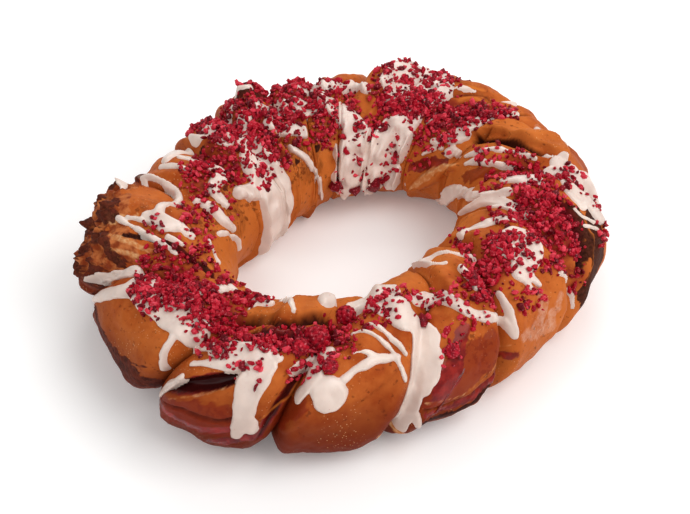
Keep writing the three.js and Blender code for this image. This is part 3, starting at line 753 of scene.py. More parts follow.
# %% The crust's finish
def crust_finish():
    """Plain crust, then each mark's colour over it, broken up by noise. Jam is smoother, and cocoa
    and burnt crust are rougher, in gloss and in bump."""
    material, place = new_finish("baked_crust")
    fine, grain, specks, blotch = (place.noise(size, 3) for size in (0.9, 1.6, 2.8, 6))
    tone = baked_tone(place, specks, blotch)
    glazed = (place.attribute("glazed") + blotch * 1.2 - 0.75).between(0, 0.8)
    tone = (glazed * 0.74).mixed(tone, colour(122, 32, 12))
    torn = (place.attribute("torn") + blotch * 0.8 - 0.6).between(0.1, 0.6)
    bread = blotch.between(0.38, 0.66).mixed(colour(130, 52, 24), colour(194, 112, 62))
    tone = (torn * 0.9).mixed(tone, bread)
    jam = (place.attribute("jam") * 1.3 + blotch * 1.0 - 0.8).between(0.1, 0.9)
    jam_colour = place.noise(6, 4).between(0.3, 0.7).mixed(colour(92, 6, 18), colour(148, 32, 29))
    tone = (jam * 0.88).mixed(tone, jam_colour)
    # Painted shade over dark filling: the deeper a slit, the darker inside.
    tone = (place.attribute("sunk") * 0.94).mixed(tone, colour(46, 11, 11))
    cocoa = (place.attribute("cocoa") * 1.6 + grain * 0.6 - 0.75).between(0.1, 0.7)
    cocoa_colour = grain.between(0.3, 0.7).mixed(colour(28, 9, 8), colour(66, 29, 23))
    tone = (cocoa * 0.95).mixed(tone, cocoa_colour)
    tone = (place.attribute("golden") * 0.9).mixed(tone, colour(204, 112, 44))
    pale = (place.attribute("pale") * 1.2 + blotch * 0.7 + grain * 0.5 - 1.0).between(0, 0.9)
    pale_colour = specks.between(0.4, 0.7).mixed(colour(200, 126, 72), colour(224, 174, 122))
    tone = (pale * 0.85).mixed(tone, pale_colour)
    uneven = blotch * 1.2 + specks * 1.2 + grain * 0.5 - 2.4
    burnt = (place.attribute("burnt") * 1.5 + uneven).between(0, 0.5)
    burnt_colour = specks.between(0.3, 0.65).mixed(colour(42, 15, 13), colour(92, 38, 27))
    tone = (burnt * 0.95).mixed(tone, burnt_colour)
    dust = place.attribute("dust").between(0.15, 0.75) * place.noise(3, 3).between(0.25, 0.5)
    tone = (dust * 0.85).mixed(tone, colour(124, 14, 24))
    wiped = (place.attribute("wiped") * 0.8 + place.noise(5, 5, 0.75) * 2 - 1.35).between(0, 1.1)
    tone = (wiped * 0.55).mixed(tone, colour(216, 184, 164))
    rough = 0.49 - jam * 0.3 + cocoa * 0.15 + burnt * 0.1 + grain * 0.1
    height = fine * 0.25 + grain * (0.3 + cocoa * 1.6 + burnt * 1.6) + torn * specks * 3 + blotch * 0.6
    return surface(material, place, {
        "Base Color": tone, "Roughness": rough, "Normal": height.bump(0.4, 0.7),
        "Specular IOR Level": 0.05, "Coat Weight": (jam + glazed * 0.4) * 0.2, "Coat Roughness": 0.14,
        "Subsurface Weight": 0.04, "Subsurface Radius": (0.004, 0.0016, 0.0008)})


crust = crust_finish()
print("crust nodes:", len(crust.node_tree.nodes))

# %% [markdown]
# ## The two strands
#
# Each strand is a tube that winds round the rope. A grid that simply followed the ring would be
# sheared by the twist, so one set of grid lines follows the strand instead: a line keeps its own
# angle in the strand's section, and the rows are the rope's angles. After one turn round the rope,
# a line arrives one whole twist further on, so the last row joins the first with that shift.

# %% Strand grids
ROWS = 184
SHOWN_LINES, HIDDEN_LINES = 60, 5
SHOWN_ANGLE = 106.0
EVENNESS = 0.85


def strand_grid(strand):
    """Ring and rope angles of a grid: rows of rope angles, and lines at angles of the strand's own
    section. Most lines are on the shown side, moved towards even steps along the ring."""
    shown = np.linspace(-SHOWN_ANGLE, SHOWN_ANGLE, SHOWN_LINES)
    hidden = np.linspace(SHOWN_ANGLE, 360 - SHOWN_ANGLE, HIDDEN_LINES + 2)[1:-1]
    one_twist = np.radians(np.concatenate([shown, hidden]))
    lines = (one_twist + 2 * np.pi * np.arange(LOBES // 2)[:, None]).ravel()
    rope = 2 * np.pi * np.arange(ROWS)[:, None] / ROWS + 0 * lines
    ring = ring_for(rope - np.pi * strand + lines)
    first = ring[:, ::len(one_twist), None]
    width = (ring[:, SHOWN_LINES - 1::len(one_twist), None] - first) % 360
    even = (first + width * np.linspace(0, 1, SHOWN_LINES)).reshape(ROWS, -1)
    shown_columns = np.tile(np.arange(len(one_twist)) < SHOWN_LINES, LOBES // 2)
    away = (ring[:, shown_columns] - even + 180) % 360 - 180
    ring[:, shown_columns] = even + (1 - EVENNESS) * away
    return ring, rope


def strand_faces(shape):
    """Squares between neighbours of a grid. Its last row joins the first, one twist further on."""
    index = np.arange(shape[0] * shape[1]).reshape(shape)
    index = np.vstack([index, np.roll(index[0], -(SHOWN_LINES + HIDDEN_LINES))])
    return squares(np.hstack([index, index[:, :1]]))


print("points of a strand:", strand_grid(0)[0].shape)

# %% [markdown]
# ## Marks that follow the strands
#
# Some marks come from the shape and not from lines. Painted shade darkens the crust in a crease,
# where jam also stains it, and low on the outer side, most of all on the shaded side of the ring.
# Painted light makes it lighter low on the lit side, round the hole and on the flaps. A slit is
# painted dark inside: shade over dark filling. The marks could be left to the material, but only
# the grid knows how the two strands overlap.

# %% The strands
# Ring angles in degrees: painted shade is darkest low on the first side, painted light strongest on the
# second.
SHADED_SIDE, LIT_SIDE = 232.0, 338.0
# Strand B ends a little higher, so that the two flat undersides are not in one plane.
STRAND_FLOORS = {"strand_a": 0.0, "strand_b": 0.12}
BURIED, BURIED_BY = -6.0, -1.0
# Painted shade in a crease: its width in millimetres, and the share spared on the hole side.
CREASE_SHADE_WIDTH, CREASE_SHADE_SPARED = 3.6, 0.85


def low_outside(out, lift):
    """1 low on the rope's outer side, fading to 0 at its top and on the hole side. It places
    painted shade on the crust and on the icing.
    """
    return soft_step((0.9 - lift) / 1.1) * np.clip(2 * out, 0, 1)


def strand_marks(bare, angle, ring, out, lift, overlap, flap):
    """The marks of a strand: those of the lines, with crags on burnt crust and stripes on layers,
    and those of its shape, which are painted shade in the creases, low on the outer side and in
    the slits, and painted light."""
    marks = {kind: marks_of(bare, kind) for kind in MARKS}
    marks["layered"] *= 0.5 + 0.5 * layer_stripes(bare, angle.ravel())
    marks["burnt"] = np.clip(marks["burnt"] + 0.5 * torn_share(bare) * (crag_lumps(bare) + 0.2), 0, 1)
    # Painted shade in the crease between the strands, with some jam stain.
    crease = in_crease(overlap, out, flap, CREASE_SHADE_WIDTH, CREASE_SHADE_SPARED)
    low = low_outside(out, lift)
    # Painted shade low on the outer side, strongest towards the shaded side of the ring.
    under = low * np.clip(0.1 + 1.3 * np.cos(np.radians(ring - SHADED_SIDE)), 0.1, 1)
    # Painted light low on the lit side, round the hole and on the flaps.
    bright = low * np.clip(3 * np.cos(np.radians(ring - LIT_SIDE)) - 2.1, 0, 0.9)
    light = np.maximum(soft_step(-1.2 * out), np.maximum(0.7 * flap, bright))
    marks |= {"crease": crease.ravel(), "under": under.ravel(), "light": light.ravel()}
    # The slits' mark is painted shade over dark filling, darker where they are deeper.
    return marks | {"dust": crumb_cover(bare), "sunk": soft_step((slit_depth(bare) - 0.3) / 3)}


def strand_arrays(strand, floor):
    """Points, faces and marks of a strand: over its grid, the strand's reach plus the dough's
    relief, never lower than the floor. Far inside the other strand it is only sunk a little."""
    ring, rope = strand_grid(strand)
    out, lift = np.cos(rope), np.sin(rope)
    own = strand_reach(ring, out, lift, strand)
    overlap = own - strand_reach(ring, out, lift, 1 - strand)
    bare = on_rope(ring, out, lift, own).reshape(-1, 3)
    flap = flap_mask(bare).reshape(own.shape)
    blend = crease_blend(ring, out, flap)
    angle = (rope - np.pi * strand - twist(ring)[2] + np.pi) % (2 * np.pi) - np.pi
    relief = dough_relief(bare, angle.ravel()).reshape(own.shape)
    relief += settle(ring, out, own, strand) + crease_dip(overlap, out, flap)
    relief = np.where(overlap < BURIED, BURIED_BY, relief + flow_together(overlap, blend))
    points = on_rope(ring, out, lift, own + relief).reshape(-1, 3)
    points[:, 2] = np.maximum(points[:, 2], floor)
    marks = strand_marks(bare, angle, ring, out, lift, overlap, flap)
    return points, strand_faces(rope.shape), marks


for strand, (name, floor) in enumerate(STRAND_FLOORS.items()):
    points, faces, marks = strand_arrays(strand, floor)
    piece(name, points, [faces], crust, "dough", marks)

# %% [markdown]
# ## Icing strokes
#
# The icing was poured in wide runs and then flicked across in thin stripes. Each run is a set of
# strokes. It could be a curve with a bevel, but icing spreads into pools with rounded edges
# and bridges the creases, so it is a height over the skin instead: a quarter circle near the edge
# of the strokes, level inside, and dipping into the dough outside, which gives a clean outline.

# %% The strokes of every run
ICING = {
    "icing_left": [
        [(179, 54, 1.9), (171, 46, 2.4), (168, 50, 2.3), (172, 72, 2.2), (177, 100, 2.2),
         (187, 98, 2.2), (194, 88, 3.2), (197, 94, 5.2), (199, 108, 3.4), (203, 118, 2.4)],
        [(194, 84, 4.5), (198, 97, 5.4)],
        [(191, 58, 1.7), (196, 71, 1.7), (202, 85, 1.7), (206, 96, 1.7), (209, 102, 1.3)],
        [(192, 66, 1.3), (195, 80, 1.4)], [(203, 98, 1.6), (207, 110, 1.3)]],
    "icing_left_band": [
        [(161, 58, 3), (157, 55, 4.4), (150, 48, 4)], [(164, 58, 2), (166, 84, 2.2), (168, 96, 2)],
        [(159, 72, 4), (159, 100, 4), (160, 120, 4.4), (173, 120, 3.6), (177, 132, 3),
         (178, 140, 2.4)],
        [(181, 118, 2.4), (183, 133, 3.6), (187, 150, 3.4), (186, 157, 2.8)],
        [(199, 143, 1.9), (189, 164, 2.2), (190, 174, 1.8)], [(204, 134, 1.6), (214, 140, 1.1)]],
    "icing_wide_run": [
        [(148, 62, 5.5), (136, 75, 7), (139, 112, 8.5), (146, 134, 11.5), (147, 151, 12),
         (152, 174, 12.5), (154, 190, 12.5), (154, 203, 12)],
        [(167, 141, 3.8), (161, 148, 4.4)], [(146, 92, 6), (139, 88, 7), (131, 84, 5)]],
    "icing_back_left": [
        [(127, 108, 4.4), (116, 122, 4.4), (112, 128, 4.2)], [(116, 78, 3.3), (115, 97, 3.3)],
        [(126, 84, 5), (119, 92, 6), (111, 96, 6.4), (104, 102, 6)],
        [(125, 52, 2.7), (122, 62, 2.7)], [(135, 58, 4), (129, 60, 4)], [(108, 66, 3), (104, 70, 3)],
        [(123, 136, 2), (117, 147, 2.2), (113, 159, 2.2), (109, 174, 2.1), (107, 194, 1.7)]],
    "icing_back": [
        [(101, 60, 3), (98, 88, 4), (93, 84, 3.8), (88, 78, 3.4), (84, 102, 3)],
        [(100, 100, 5), (96, 116, 6), (91, 127, 6.4), (87, 140, 6.6), (86, 152, 7.4)],
        [(92, 158, 7.5), (86, 166, 9), (80, 172, 9), (78, 160, 8.4)],
        [(77, 152, 8), (72, 152, 8), (72, 142, 7), (67, 136, 6), (65, 130, 5)],
        [(75, 172, 8), (70, 179, 7.4), (68, 192, 6)], [(95, 178, 5.4), (93, 190, 5), (92, 200, 4.6)],
        [(86, 176, 8.4), (80, 184, 8), (78, 196, 6)], [(90, 172, 8), (88, 188, 6.6)], [(84, 150, 6)],
        [(67, 140, 5), (65, 152, 6), (65, 163, 5)], [(53, 146, 2.2), (50, 148, 2)]],
    "icing_top": [
        [(78, 92, 5.5), (76, 66, 7), (72, 54, 7), (70, 48, 5.5)],
        [(76, 98, 7), (71, 98, 9), (66, 106, 8), (61, 102, 6)],
        [(73, 74, 8.5), (67, 76, 9), (62, 80, 7), (60, 92, 6)], [(68, 60, 6), (63, 72, 6)]],
    "icing_back_right": [
        [(50, 140, 3), (46, 137, 3.6), (43, 128, 3.4)], [(45, 149, 3.6)], [(42, 147, 2.4), (45, 145, 2.4)],
        [(46, 128, 3.2), (44, 114, 3.8), (42, 98, 3.8), (41, 78, 3.6), (40, 66, 2.8)],
        [(36, 142, 1.5), (32, 131, 1.8), (29, 121, 1.8), (25, 110, 1.6), (21, 99, 1.6), (18, 84, 1.4)],
        [(33, 146, 2), (29, 137, 2.4), (24, 129, 2.2), (21, 120, 2), (19, 109, 1.8)],
        [(56, 160, 1.4), (52, 152, 1.6)], [(60, 130, 1.2), (55, 118, 1.4), (51, 108, 1.2)],
        [(59, 85, 0.9), (56, 74, 1), (54, 66, 0.9)], [(47, 62, 1.6), (44, 52, 2)],
        [(18, 73, 1.1), (15, 52, 1)], [(33, 54, 1.6), (30, 47, 2.2), (26, 46, 2.4), (22, 48, 2)]],
    "icing_right": [
        [(15, 62, 5), (11, 50, 9), (6, 44, 10.5), (3, 38, 10.5), (2, 31, 8.5), (1, 22, 5)],
        [(12, 34, 7), (10, 24, 7), (8, 15, 4.5)], [(12, 68, 5), (7, 58, 6.4), (1, 52, 6), (358, 46, 4)],
        [(9, 116, 3), (9, 103, 4.8), (6, 93, 5.4), (4, 84, 4)],
        [(355, 50, 0.7), (354, 43, 0.8), (356, 30, 0.8)],
        [(352, 38, 0.8), (354, 30, 0.8), (359, 8, 0.8)]],
    "icing_right_inner": [
        [(49, 212, 3), (41, 190, 4.2), (35, 175, 4.2), (24, 162, 3.4), (12, 149, 3.2), (1, 126, 3),
         (0, 108, 2.6)],
        [(4, 156, 2), (2, 144, 3), (1, 132, 4), (359, 119, 4.4), (356, 102, 4), (352, 86, 2.6)],
        [(334, 127, 2.6), (339, 122, 3.2), (341, 112, 3.4), (343, 99, 3.4), (346, 92, 2.8)]],
    "icing_right_pool": [
        [(331, 88, 5), (337, 83, 6.4), (337, 70, 7.2), (335, 59, 6.8), (328, 58, 6.8), (324, 56, 4.4)],
        [(330, 74, 6)], [(327, 56, 2.6), (326, 48, 2), (327, 38, 1.4)], [(324, 52, 2), (324, 40, 1.4)],
        [(335, 32, 1.1), (339, 8, 1.1), (338, -9, 0.9)]],
    "icing_front_right": [
        [(291, 92, 3.5), (299, 95, 3.8), (301, 68, 3.8), (302, 58, 3.6), (305, 47, 3),
         (312, 36, 2.6), (313, 24, 2.6), (313, 18, 2)],
        [(316, 54, 1.2), (315, 43, 1.7), (314, 31, 2.4), (313, 20, 2.2)],
        [(308, 138, 1.2), (315, 130, 1.4), (320, 116, 1.4), (324, 105, 1.2)],
        [(308, 150, 1.2), (307, 123, 1.4), (311, 108, 1.2)], [(312, 92, 2.1), (310, 68, 1.9)]],
    "icing_front": [
        [(276, 118, 7), (284, 118, 8), (279, 98, 8.6), (284, 87, 7.8), (285, 74, 7)],
        [(288, 69, 6.6), (290, 55, 8.6), (288, 40, 9), (285.5, 26, 7), (284, 10, 6),
         (282.5, -4, 6.2), (281, -23, 4.2)],
        [(290, 36, 5), (288.5, 26, 4.8), (286.5, 16, 4.4)], [(284, -6, 3), (284.6, -15, 1.9)],
        [(275, 78, 1.2), (279, 70, 1.4), (281, 57, 1.4), (283, 46, 1.3)],
        [(271, 73, 1.2), (274, 72, 1.4), (277, 64, 1.4), (280, 52, 1.4), (281, 42, 1.3),
         (282, 29, 1.2)],
        [(271, 56, 1.1), (274, 55, 1.1), (276, 50, 1.1)],
        [(269, 38, 2.1), (272, 44, 2.2), (276, 48, 2.2), (281, 46, 2.2)],
        [(266, 29, 9)], [(263, 42, 4.3), (260, 27, 4.2)],
        [(265, 60, 4.6), (263, 52, 4.7), (262, 42, 4.6)], [(263, 112, 5.4)],
        [(271, 118, 4.2), (275, 126, 5), (278, 114, 5)], [(258, 46, 2.4), (259, 50, 3), (261, 55, 3.2)]],
    "icing_left_front": [
        [(198, 14, 3.5), (204, 44, 3.8), (206, 60, 3.5)], [(204, 18, 4.4), (210, 41, 4.9), (213, 54, 4.9)],
        [(219, 56, 5.6), (222, 63, 6), (230, 62, 7), (234, 65, 6)],
        [(213, 60, 9), (221, 68, 11.6), (228, 68, 11), (234, 60, 8)],
        [(226, 94, 4.2), (230, 113, 3.7)], [(230, 123, 2.1), (238, 118, 2.2), (244, 120, 1.9)],
        [(231, 48, 2.2), (231, 38, 1.8), (231, 20, 1.9)],
        [(237, 26, 2.4), (234, 14, 3.2), (232, 1, 2.8)]],
    "icing_front_drip": [
        [(238, 37, 1.3), (242, 42, 2.4), (246, 45, 4), (249, 56, 6.4), (252, 52, 7),
         (252, 44, 7.4), (250.5, 32, 7.2), (250.5, 19, 5.8), (250, 5, 5.3), (249, -4, 3.2)],
        [(252, 8, 3.2), (252, 2, 3.2)], [(236, 47, 2.6), (240, 54, 3.2)],
        [(247, 130, 1.4), (254, 100, 1.6), (255, 96, 1.4)], [(242, 104, 1.3), (247, 110, 1.2)],
        [(252, 60, 2.1), (255, 54, 2.1)], [(241, 50, 2.4), (246, 52, 4.2)],
        [(244, 60, 3), (248, 57, 4.4)]],
}
print("strokes:", sum(len(strokes) for strokes in ICING.values()))

# %% Height of the icing
EDGE_ROUND = 2.3
EDGE_STEEP = 0.78
BRIDGE = 4.0
ICING_SINKS = -0.7
STROKE_BLEND = 1.6
# Height and size in millimetres, and seed.
ICING_EDGE_WAVES = [(0.3, 11, 30), (0.08, 4, 31)]


def icing_inside(points, strokes):
    """How far points lie inside a run: its strokes flow together, and its edge wanders a little."""
    inside = np.full(points.shape[:-1], -9.0)
    for stroke in strokes:
        other = inside_line(points, stroke)
        inside = np.maximum(inside, other) + flow_together(inside - other, STROKE_BLEND)
    return inside + rippled(points, ICING_EDGE_WAVES)


def icing_height(inside, points, body=1.0):
    """A rounded edge: a quarter circle up to the edge's rounding, and a steep dip outside. A run
    with more body is thicker and more uneven."""
    edge = EDGE_ROUND * body
    depth = np.clip(inside, 0, edge)
    height = EDGE_STEEP * np.sqrt(depth * (2 * edge - depth))
    height *= 1 + (0.45 * body - 0.31) * waves(points, 11, 32)
    return np.where(inside > 0, height, np.maximum(2.4 * inside, -2.6))


def finished_skin(ring, rope, bridge, lowest):
    """The bare skin's points, and the reach of the dough over them with its relief: filled that
    much wider at the creases, and nowhere sunk below the lowest."""
    out, lift = rope_direction(rope)
    first, second = both_reaches(ring, rope)
    reach = np.maximum(first, second)
    bare = on_rope(ring, out, lift, reach)
    blend = crease_blend(ring, out, flap_mask(bare)) + bridge
    relief = dough_relief(bare.reshape(-1, 3), np.zeros(reach.size)).reshape(reach.shape)
    sunk = np.where(first > second, settle(ring, out, first, 0), settle(ring, out, second, 1))
    return bare, reach + sunk + flow_together(first - second, blend) + np.maximum(relief, lowest)


edge_places = np.array([0.5, 1, 3])
edge_heights = icing_height(edge_places, np.zeros((3, 3)))
print("icing", edge_places, "mm inside its edge is", np.round(edge_heights, 1), "mm high")

# %% [markdown]
# ## White icing
#
# Sugar icing is white with a warm tint and a soft gloss. Light goes a little way into it. Crumbs
# leave red dust and tiny red specks on it, and low on the outside it is painted greyer, as shade.
# Plain white would look like plaster, so faint clouds and a shallow bump are added.

# %% The icing's finish
def icing_finish():
    """Clouds of two warm whites, painted greyer low on the outside as shade, with red dust where the
    crumbs lie thick.
    """
    material, place = new_finish("sugar_icing")
    tint = place.noise(16, 3).between(0.3, 0.7).mixed(colour(217, 196, 184), colour(233, 214, 202))
    dust = place.attribute("dust") * place.noise(2.2, 3).between(0.55, 0.75)
    # Painted shade: greyer low on the rope's outer side.
    tint = (place.attribute("low") * 0.6).mixed(tint, colour(186, 158, 146))
    tint = (dust * 0.55).mixed(tint, colour(196, 66, 84))
    tint = (place.noise(1.1, 2).between(0.71, 0.75) * 0.5).mixed(tint, colour(178, 52, 66))
    height = place.noise(6, 2) * 0.7 + place.noise(1.5, 2) * 0.15
    return surface(material, place, {
        "Base Color": tint, "Roughness": 0.3 + place.noise(4, 2) * 0.12, "Normal": height.bump(0.3, 0.8),
        "Specular IOR Level": 0.45, "Subsurface Weight": 0.18,
        "Subsurface Radius": (0.003, 0.0022, 0.0018), "Coat Weight": 0.15, "Coat Roughness": 0.2})


icing_white = icing_finish()
print("icing nodes:", len(icing_white.node_tree.nodes))

# %% [markdown]
# ## Pouring the icing
#
# Each run is laid on a fine grid of ring and rope angles round its strokes. Only the cells that
# the icing reaches are kept. A second layer of the same cells deep in the dough, and a wall along
# the edge of the cells, close the run into a solid piece. Solidify could thicken a sheet instead, but
# its underside would show through the dough.

# %% Cells of a run
RING_STEP, ROPE_STEP = 0.24, 0.66
DEGREES_PER_MM = np.array([0.95, 2.1])
ICING_ROOM = 3.0


def run_grid(strokes):
    """Ring and rope angles of a fine grid, with room round all the strokes of a run."""
    lines = np.concatenate([smooth_line(stroke) for stroke in strokes])
    start = lines[0, RING_ANGLE]
    lines[:, RING_ANGLE] = start + (lines[:, RING_ANGLE] - start + 180) % 360 - 180
    room = (lines[:, HALF_WIDTH:] + ICING_ROOM) * DEGREES_PER_MM
    low, high = (lines[:, :HALF_WIDTH] - room).min(0), (lines[:, :HALF_WIDTH] + room).max(0)
    return np.meshgrid(np.arange(low[0], high[0], RING_STEP),
                       np.arange(low[1], high[1], ROPE_STEP), indexing="ij")


def closed_cells(kept):
    """Faces of the kept cells of a grid and of its copy in a second layer, turned over, and a wall
    between the layers wherever a kept cell has no kept neighbour."""
    shape = kept.shape[0] + 1, kept.shape[1] + 1
    layer = shape[0] * shape[1]
    index = np.arange(layer).reshape(shape)
    upper = np.stack([index[:-1, :-1], index[1:, :-1], index[1:, 1:], index[:-1, 1:]], -1)
    faces = [upper[kept], upper[kept][:, ::-1] + layer]
    padded = np.pad(kept, 1)
    for side, (i, j) in enumerate([(1, 0), (2, 1), (1, 2), (0, 1)]):
        open_side = kept & ~padded[i:i + kept.shape[0], j:j + kept.shape[1]]
        first, second = upper[open_side][:, side], upper[open_side][:, (side + 1) % 4]
        faces.append(np.stack([second, first, first + layer, second + layer], -1))
    return np.concatenate(faces)


print("faces that close one cell:", len(closed_cells(np.ones((1, 1), bool))))

# %% Icing runs
ICING_ROOT = 3.0
ICING_FLOOR = 0.3
EDGE_KEPT = -1.1
ICING_BODY = {"icing_back": 1.7, "icing_top": 1.35, "icing_front": 1.15, "icing_wide_run": 1.3}


def run_arrays(strokes, body):
    """Points, faces and marks of a run: a height field over the kept cells, its copy in the dough
    and a wall between their edges."""
    ring, rope = run_grid(strokes)
    out, lift = rope_direction(rope)
    bare, base = finished_skin(ring, rope, BRIDGE * body ** 2, ICING_SINKS)
    inside = icing_inside(bare, strokes)
    top = on_rope(ring, out, lift, base + icing_height(inside, bare, body))
    root = on_rope(ring, out, lift, base - ICING_ROOT)
    corner = inside > EDGE_KEPT
    faces = closed_cells(corner[:-1, :-1] | corner[1:, :-1] | corner[:-1, 1:] | corner[1:, 1:])
    used, renumbered = np.unique(faces, return_inverse=True)
    points = np.concatenate([top.reshape(-1, 3), root.reshape(-1, 3)])[used]
    points[:, 2] = np.maximum(points[:, 2], ICING_FLOOR)
    # Marks of the icing: red dust, and where shade is painted low on the outside.
    marks = {"dust": crumb_cover(bare), "low": low_outside(out, lift)}
    marks = {mark: np.tile(values.ravel(), 2)[used] for mark, values in marks.items()}
    return points, renumbered.reshape(faces.shape), marks


for name, strokes in ICING.items():
    points, faces, marks = run_arrays(strokes, ICING_BODY.get(name, 1.0))
    piece(name + "_poured", points, [faces], icing_white, name, marks)

# %% [markdown]
# ## The filling in the layers
#
# Jam was rolled into the dough, so it is a ribbon inside a strand that comes to the surface where
# the roll was cut. Colour on the crust could show it too, but a ribbon has a thickness and a sticky
# gloss of its own. A flattened rounded section is carried along the strand, and its outer edge moves
# out to the skin where the filling shows.

# %% Filling ribbons
# Ring angles in degrees, and an angle in the strand's section. Each stretch that shows has the depth
# of the ribbon's edge below the skin, in millimetres.
FILLINGS = {
    "filling_front": {"strand": 1, "from": 222, "to": 376, "angle": 24,
                      "shows": [(234, 248, 3.0), (286, 299, -0.6), (343, 369, 3.2)]},
    "filling_back": {"strand": 0, "from": 398, "to": 428, "angle": 20, "shows": [(405, 424, -0.6)]},
}
# The thickness and the hidden depth are in millimetres, the step and the fade in degrees, and the
# inner edge is a share of the reach.
RIBBON = {"thick": 5.0, "inner": 0.3, "hidden": 9.0, "sides": 20, "step": 0.4, "fade": 3.0}


def ribbon_depth(ring, shows):
    """How deep a ribbon's outer edge lies: hidden, or near the skin in the stretches that show."""
    depth = np.full(ring.shape, RIBBON["hidden"])
    for first, last, shown in shows:
        share = soft_step(np.minimum(ring - first, last - ring) / RIBBON["fade"])
        depth = depth + share * (shown - RIBBON["hidden"])
    return depth


def ribbon_arrays(strand, start, stop, angle, shows):
    """A tube along a strand: an oval section between an inner edge and the outer edge, which is the
    strand's reach less the ribbon's depth."""
    ring = np.linspace(start, stop, int((stop - start) / RIBBON["step"]))
    grown = swell(ring, strand)
    turn = np.radians(angle)
    rounding = 2 / STRAND["power"]
    along = grown * STRAND["reach"] * np.cos(turn) ** rounding
    across = grown * STRAND["width"] * np.sin(turn) ** rounding
    reach = np.hypot(along, across)
    depth = ribbon_depth(ring, shows)
    middle = 0.5 * (reach - depth + RIBBON["inner"] * reach)
    half = 0.5 * (reach - depth - RIBBON["inner"] * reach)
    count = RIBBON["sides"]
    side = 2 * np.pi * np.arange(count) / count
    taper = soft_step(np.minimum(ring - start, stop - ring) / 1.5 + 0.15)
    outward = middle[:, None] + half[:, None] * np.cos(side) * taper[:, None]
    sideways = 0.5 * RIBBON["thick"] * np.sin(side) * taper[:, None]
    facing, crossing = (along / reach)[:, None], (across / reach)[:, None]
    own_along = (grown * STRAND["offset"])[:, None] + outward * facing - sideways * crossing
    own_across = outward * crossing + sideways * facing
    turned = (twist(ring)[2] + np.pi * strand)[:, None]
    points = on_rope(ring[:, None] + 0 * side, own_along * np.cos(turned) - own_across * np.sin(turned),
                     own_along * np.sin(turned) + own_across * np.cos(turned), 1.0)
    points = points.reshape(-1, 3)
    ends = np.stack([points[:count].mean(0), points[-count:].mean(0)])
    points = points + 0.35 * waves(points, 6, 40)[:, None] * np.array([0.4, 0.4, 1])
    return np.concatenate([points, ends]), tube_faces(len(ring), count)


print("ribbons:", {name: ribbon["to"] - ribbon["from"] for name, ribbon in FILLINGS.items()}, "degrees")

# %% Jam in the ribbons
def filling_finish():
    """Cooked berry jam: dark red to almost black, sticky and glossy, with seeds."""
    material, place = new_finish("berry_filling")
    tone = place.noise(5, 4).between(0.3, 0.7).mixed(colour(58, 9, 9), colour(138, 26, 22))
    tone = (place.noise(1.2, 2).between(0.66, 0.72) * 0.6).mixed(tone, colour(190, 90, 50))
    height = place.noise(2.4, 4)
    return surface(material, place, {
        "Base Color": tone, "Roughness": 0.2 + place.noise(3, 2) * 0.15,
        "Normal": height.bump(0.6, 0.8), "Coat Weight": 0.3, "Coat Roughness": 0.15})


jam = filling_finish()
for name, ribbon in FILLINGS.items():
    points, faces = ribbon_arrays(ribbon["strand"], ribbon["from"], ribbon["to"], ribbon["angle"],
                                  ribbon["shows"])
    piece(name + "_jam", points, faces, jam, name)

# %% [markdown]
# ## Raspberries
#
# A raspberry is a cluster of round drupelets. Rather than joining dozens of balls, the berry is
# one closed surface: a ball whose radius swells towards the nearest drupelet, and the drupelets
# are spread evenly over it by the golden angle. Dried raspberry is crimson with a paler bloom. One
# colour would look like plastic, so the mesh gives each place a tone, and noise makes it uneven.

# %% Whole berries
# Ring angle, rope angle and radius in millimetres.
BERRIES = [(262, 76, 6.5), (269, 106, 5.2), (259, 64, 4.4), (266, 48, 4.0), (294, 36, 3.8)]
DRUPELETS = 52
BERRY_RISE = 0.45
BERRY_TURNS, BERRY_ROWS = 72, 47


def drupelet_headings(seed):
    """Directions spread evenly over a ball: even steps of height, each a golden angle further on."""
    number = np.arange(DRUPELETS) + 0.5
    height = 1 - 2 * number / DRUPELETS
    turn = np.pi * (3 - np.sqrt(5)) * number + seed
    flat = np.sqrt(1 - height ** 2)
    return np.stack([flat * np.cos(turn), flat * np.sin(turn), height], -1)


def berry_arrays(ring, rope, radius, seed):
    """A ball on a grid of turns and heights, its radius rising to each nearest drupelet."""
    around, down = np.meshgrid(2 * np.pi * np.arange(BERRY_TURNS) / BERRY_TURNS,
                               np.pi * np.arange(1, BERRY_ROWS + 1) / (BERRY_ROWS + 1))
    grid = np.stack([np.sin(down) * np.cos(around), np.sin(down) * np.sin(around), np.cos(down)], -1)
    heading = np.concatenate([grid.reshape(-1, 3), [[0, 0, 1], [0, 0, -1]]])
    gap = np.arccos(np.clip(heading @ drupelet_headings(seed).T, -1, 1)).min(1)
    size = np.sqrt(4 / DRUPELETS) * 1.15
    swelled = radius * (0.8 + 0.26 * np.sqrt(np.clip(1 - (gap / size) ** 2, 0, 1)))
    ring, rope = np.float64(ring), np.float64(rope)
    reach = bare_skin(ring, rope) + BERRY_RISE * radius
    centre = on_rope(ring, *rope_direction(rope), reach)
    points = centre + heading * swelled[:, None] * np.array([1, 0.94, 1.02])
    return points, tube_faces(BERRY_ROWS, BERRY_TURNS)


print("a berry has", DRUPELETS, "drupelets and", BERRY_ROWS * BERRY_TURNS + 2, "points")

# %% Dried raspberry
BERRY_TONES = [(0.0, (92, 0, 14)), (0.5, (176, 5, 33)), (1.0, (224, 66, 84))]


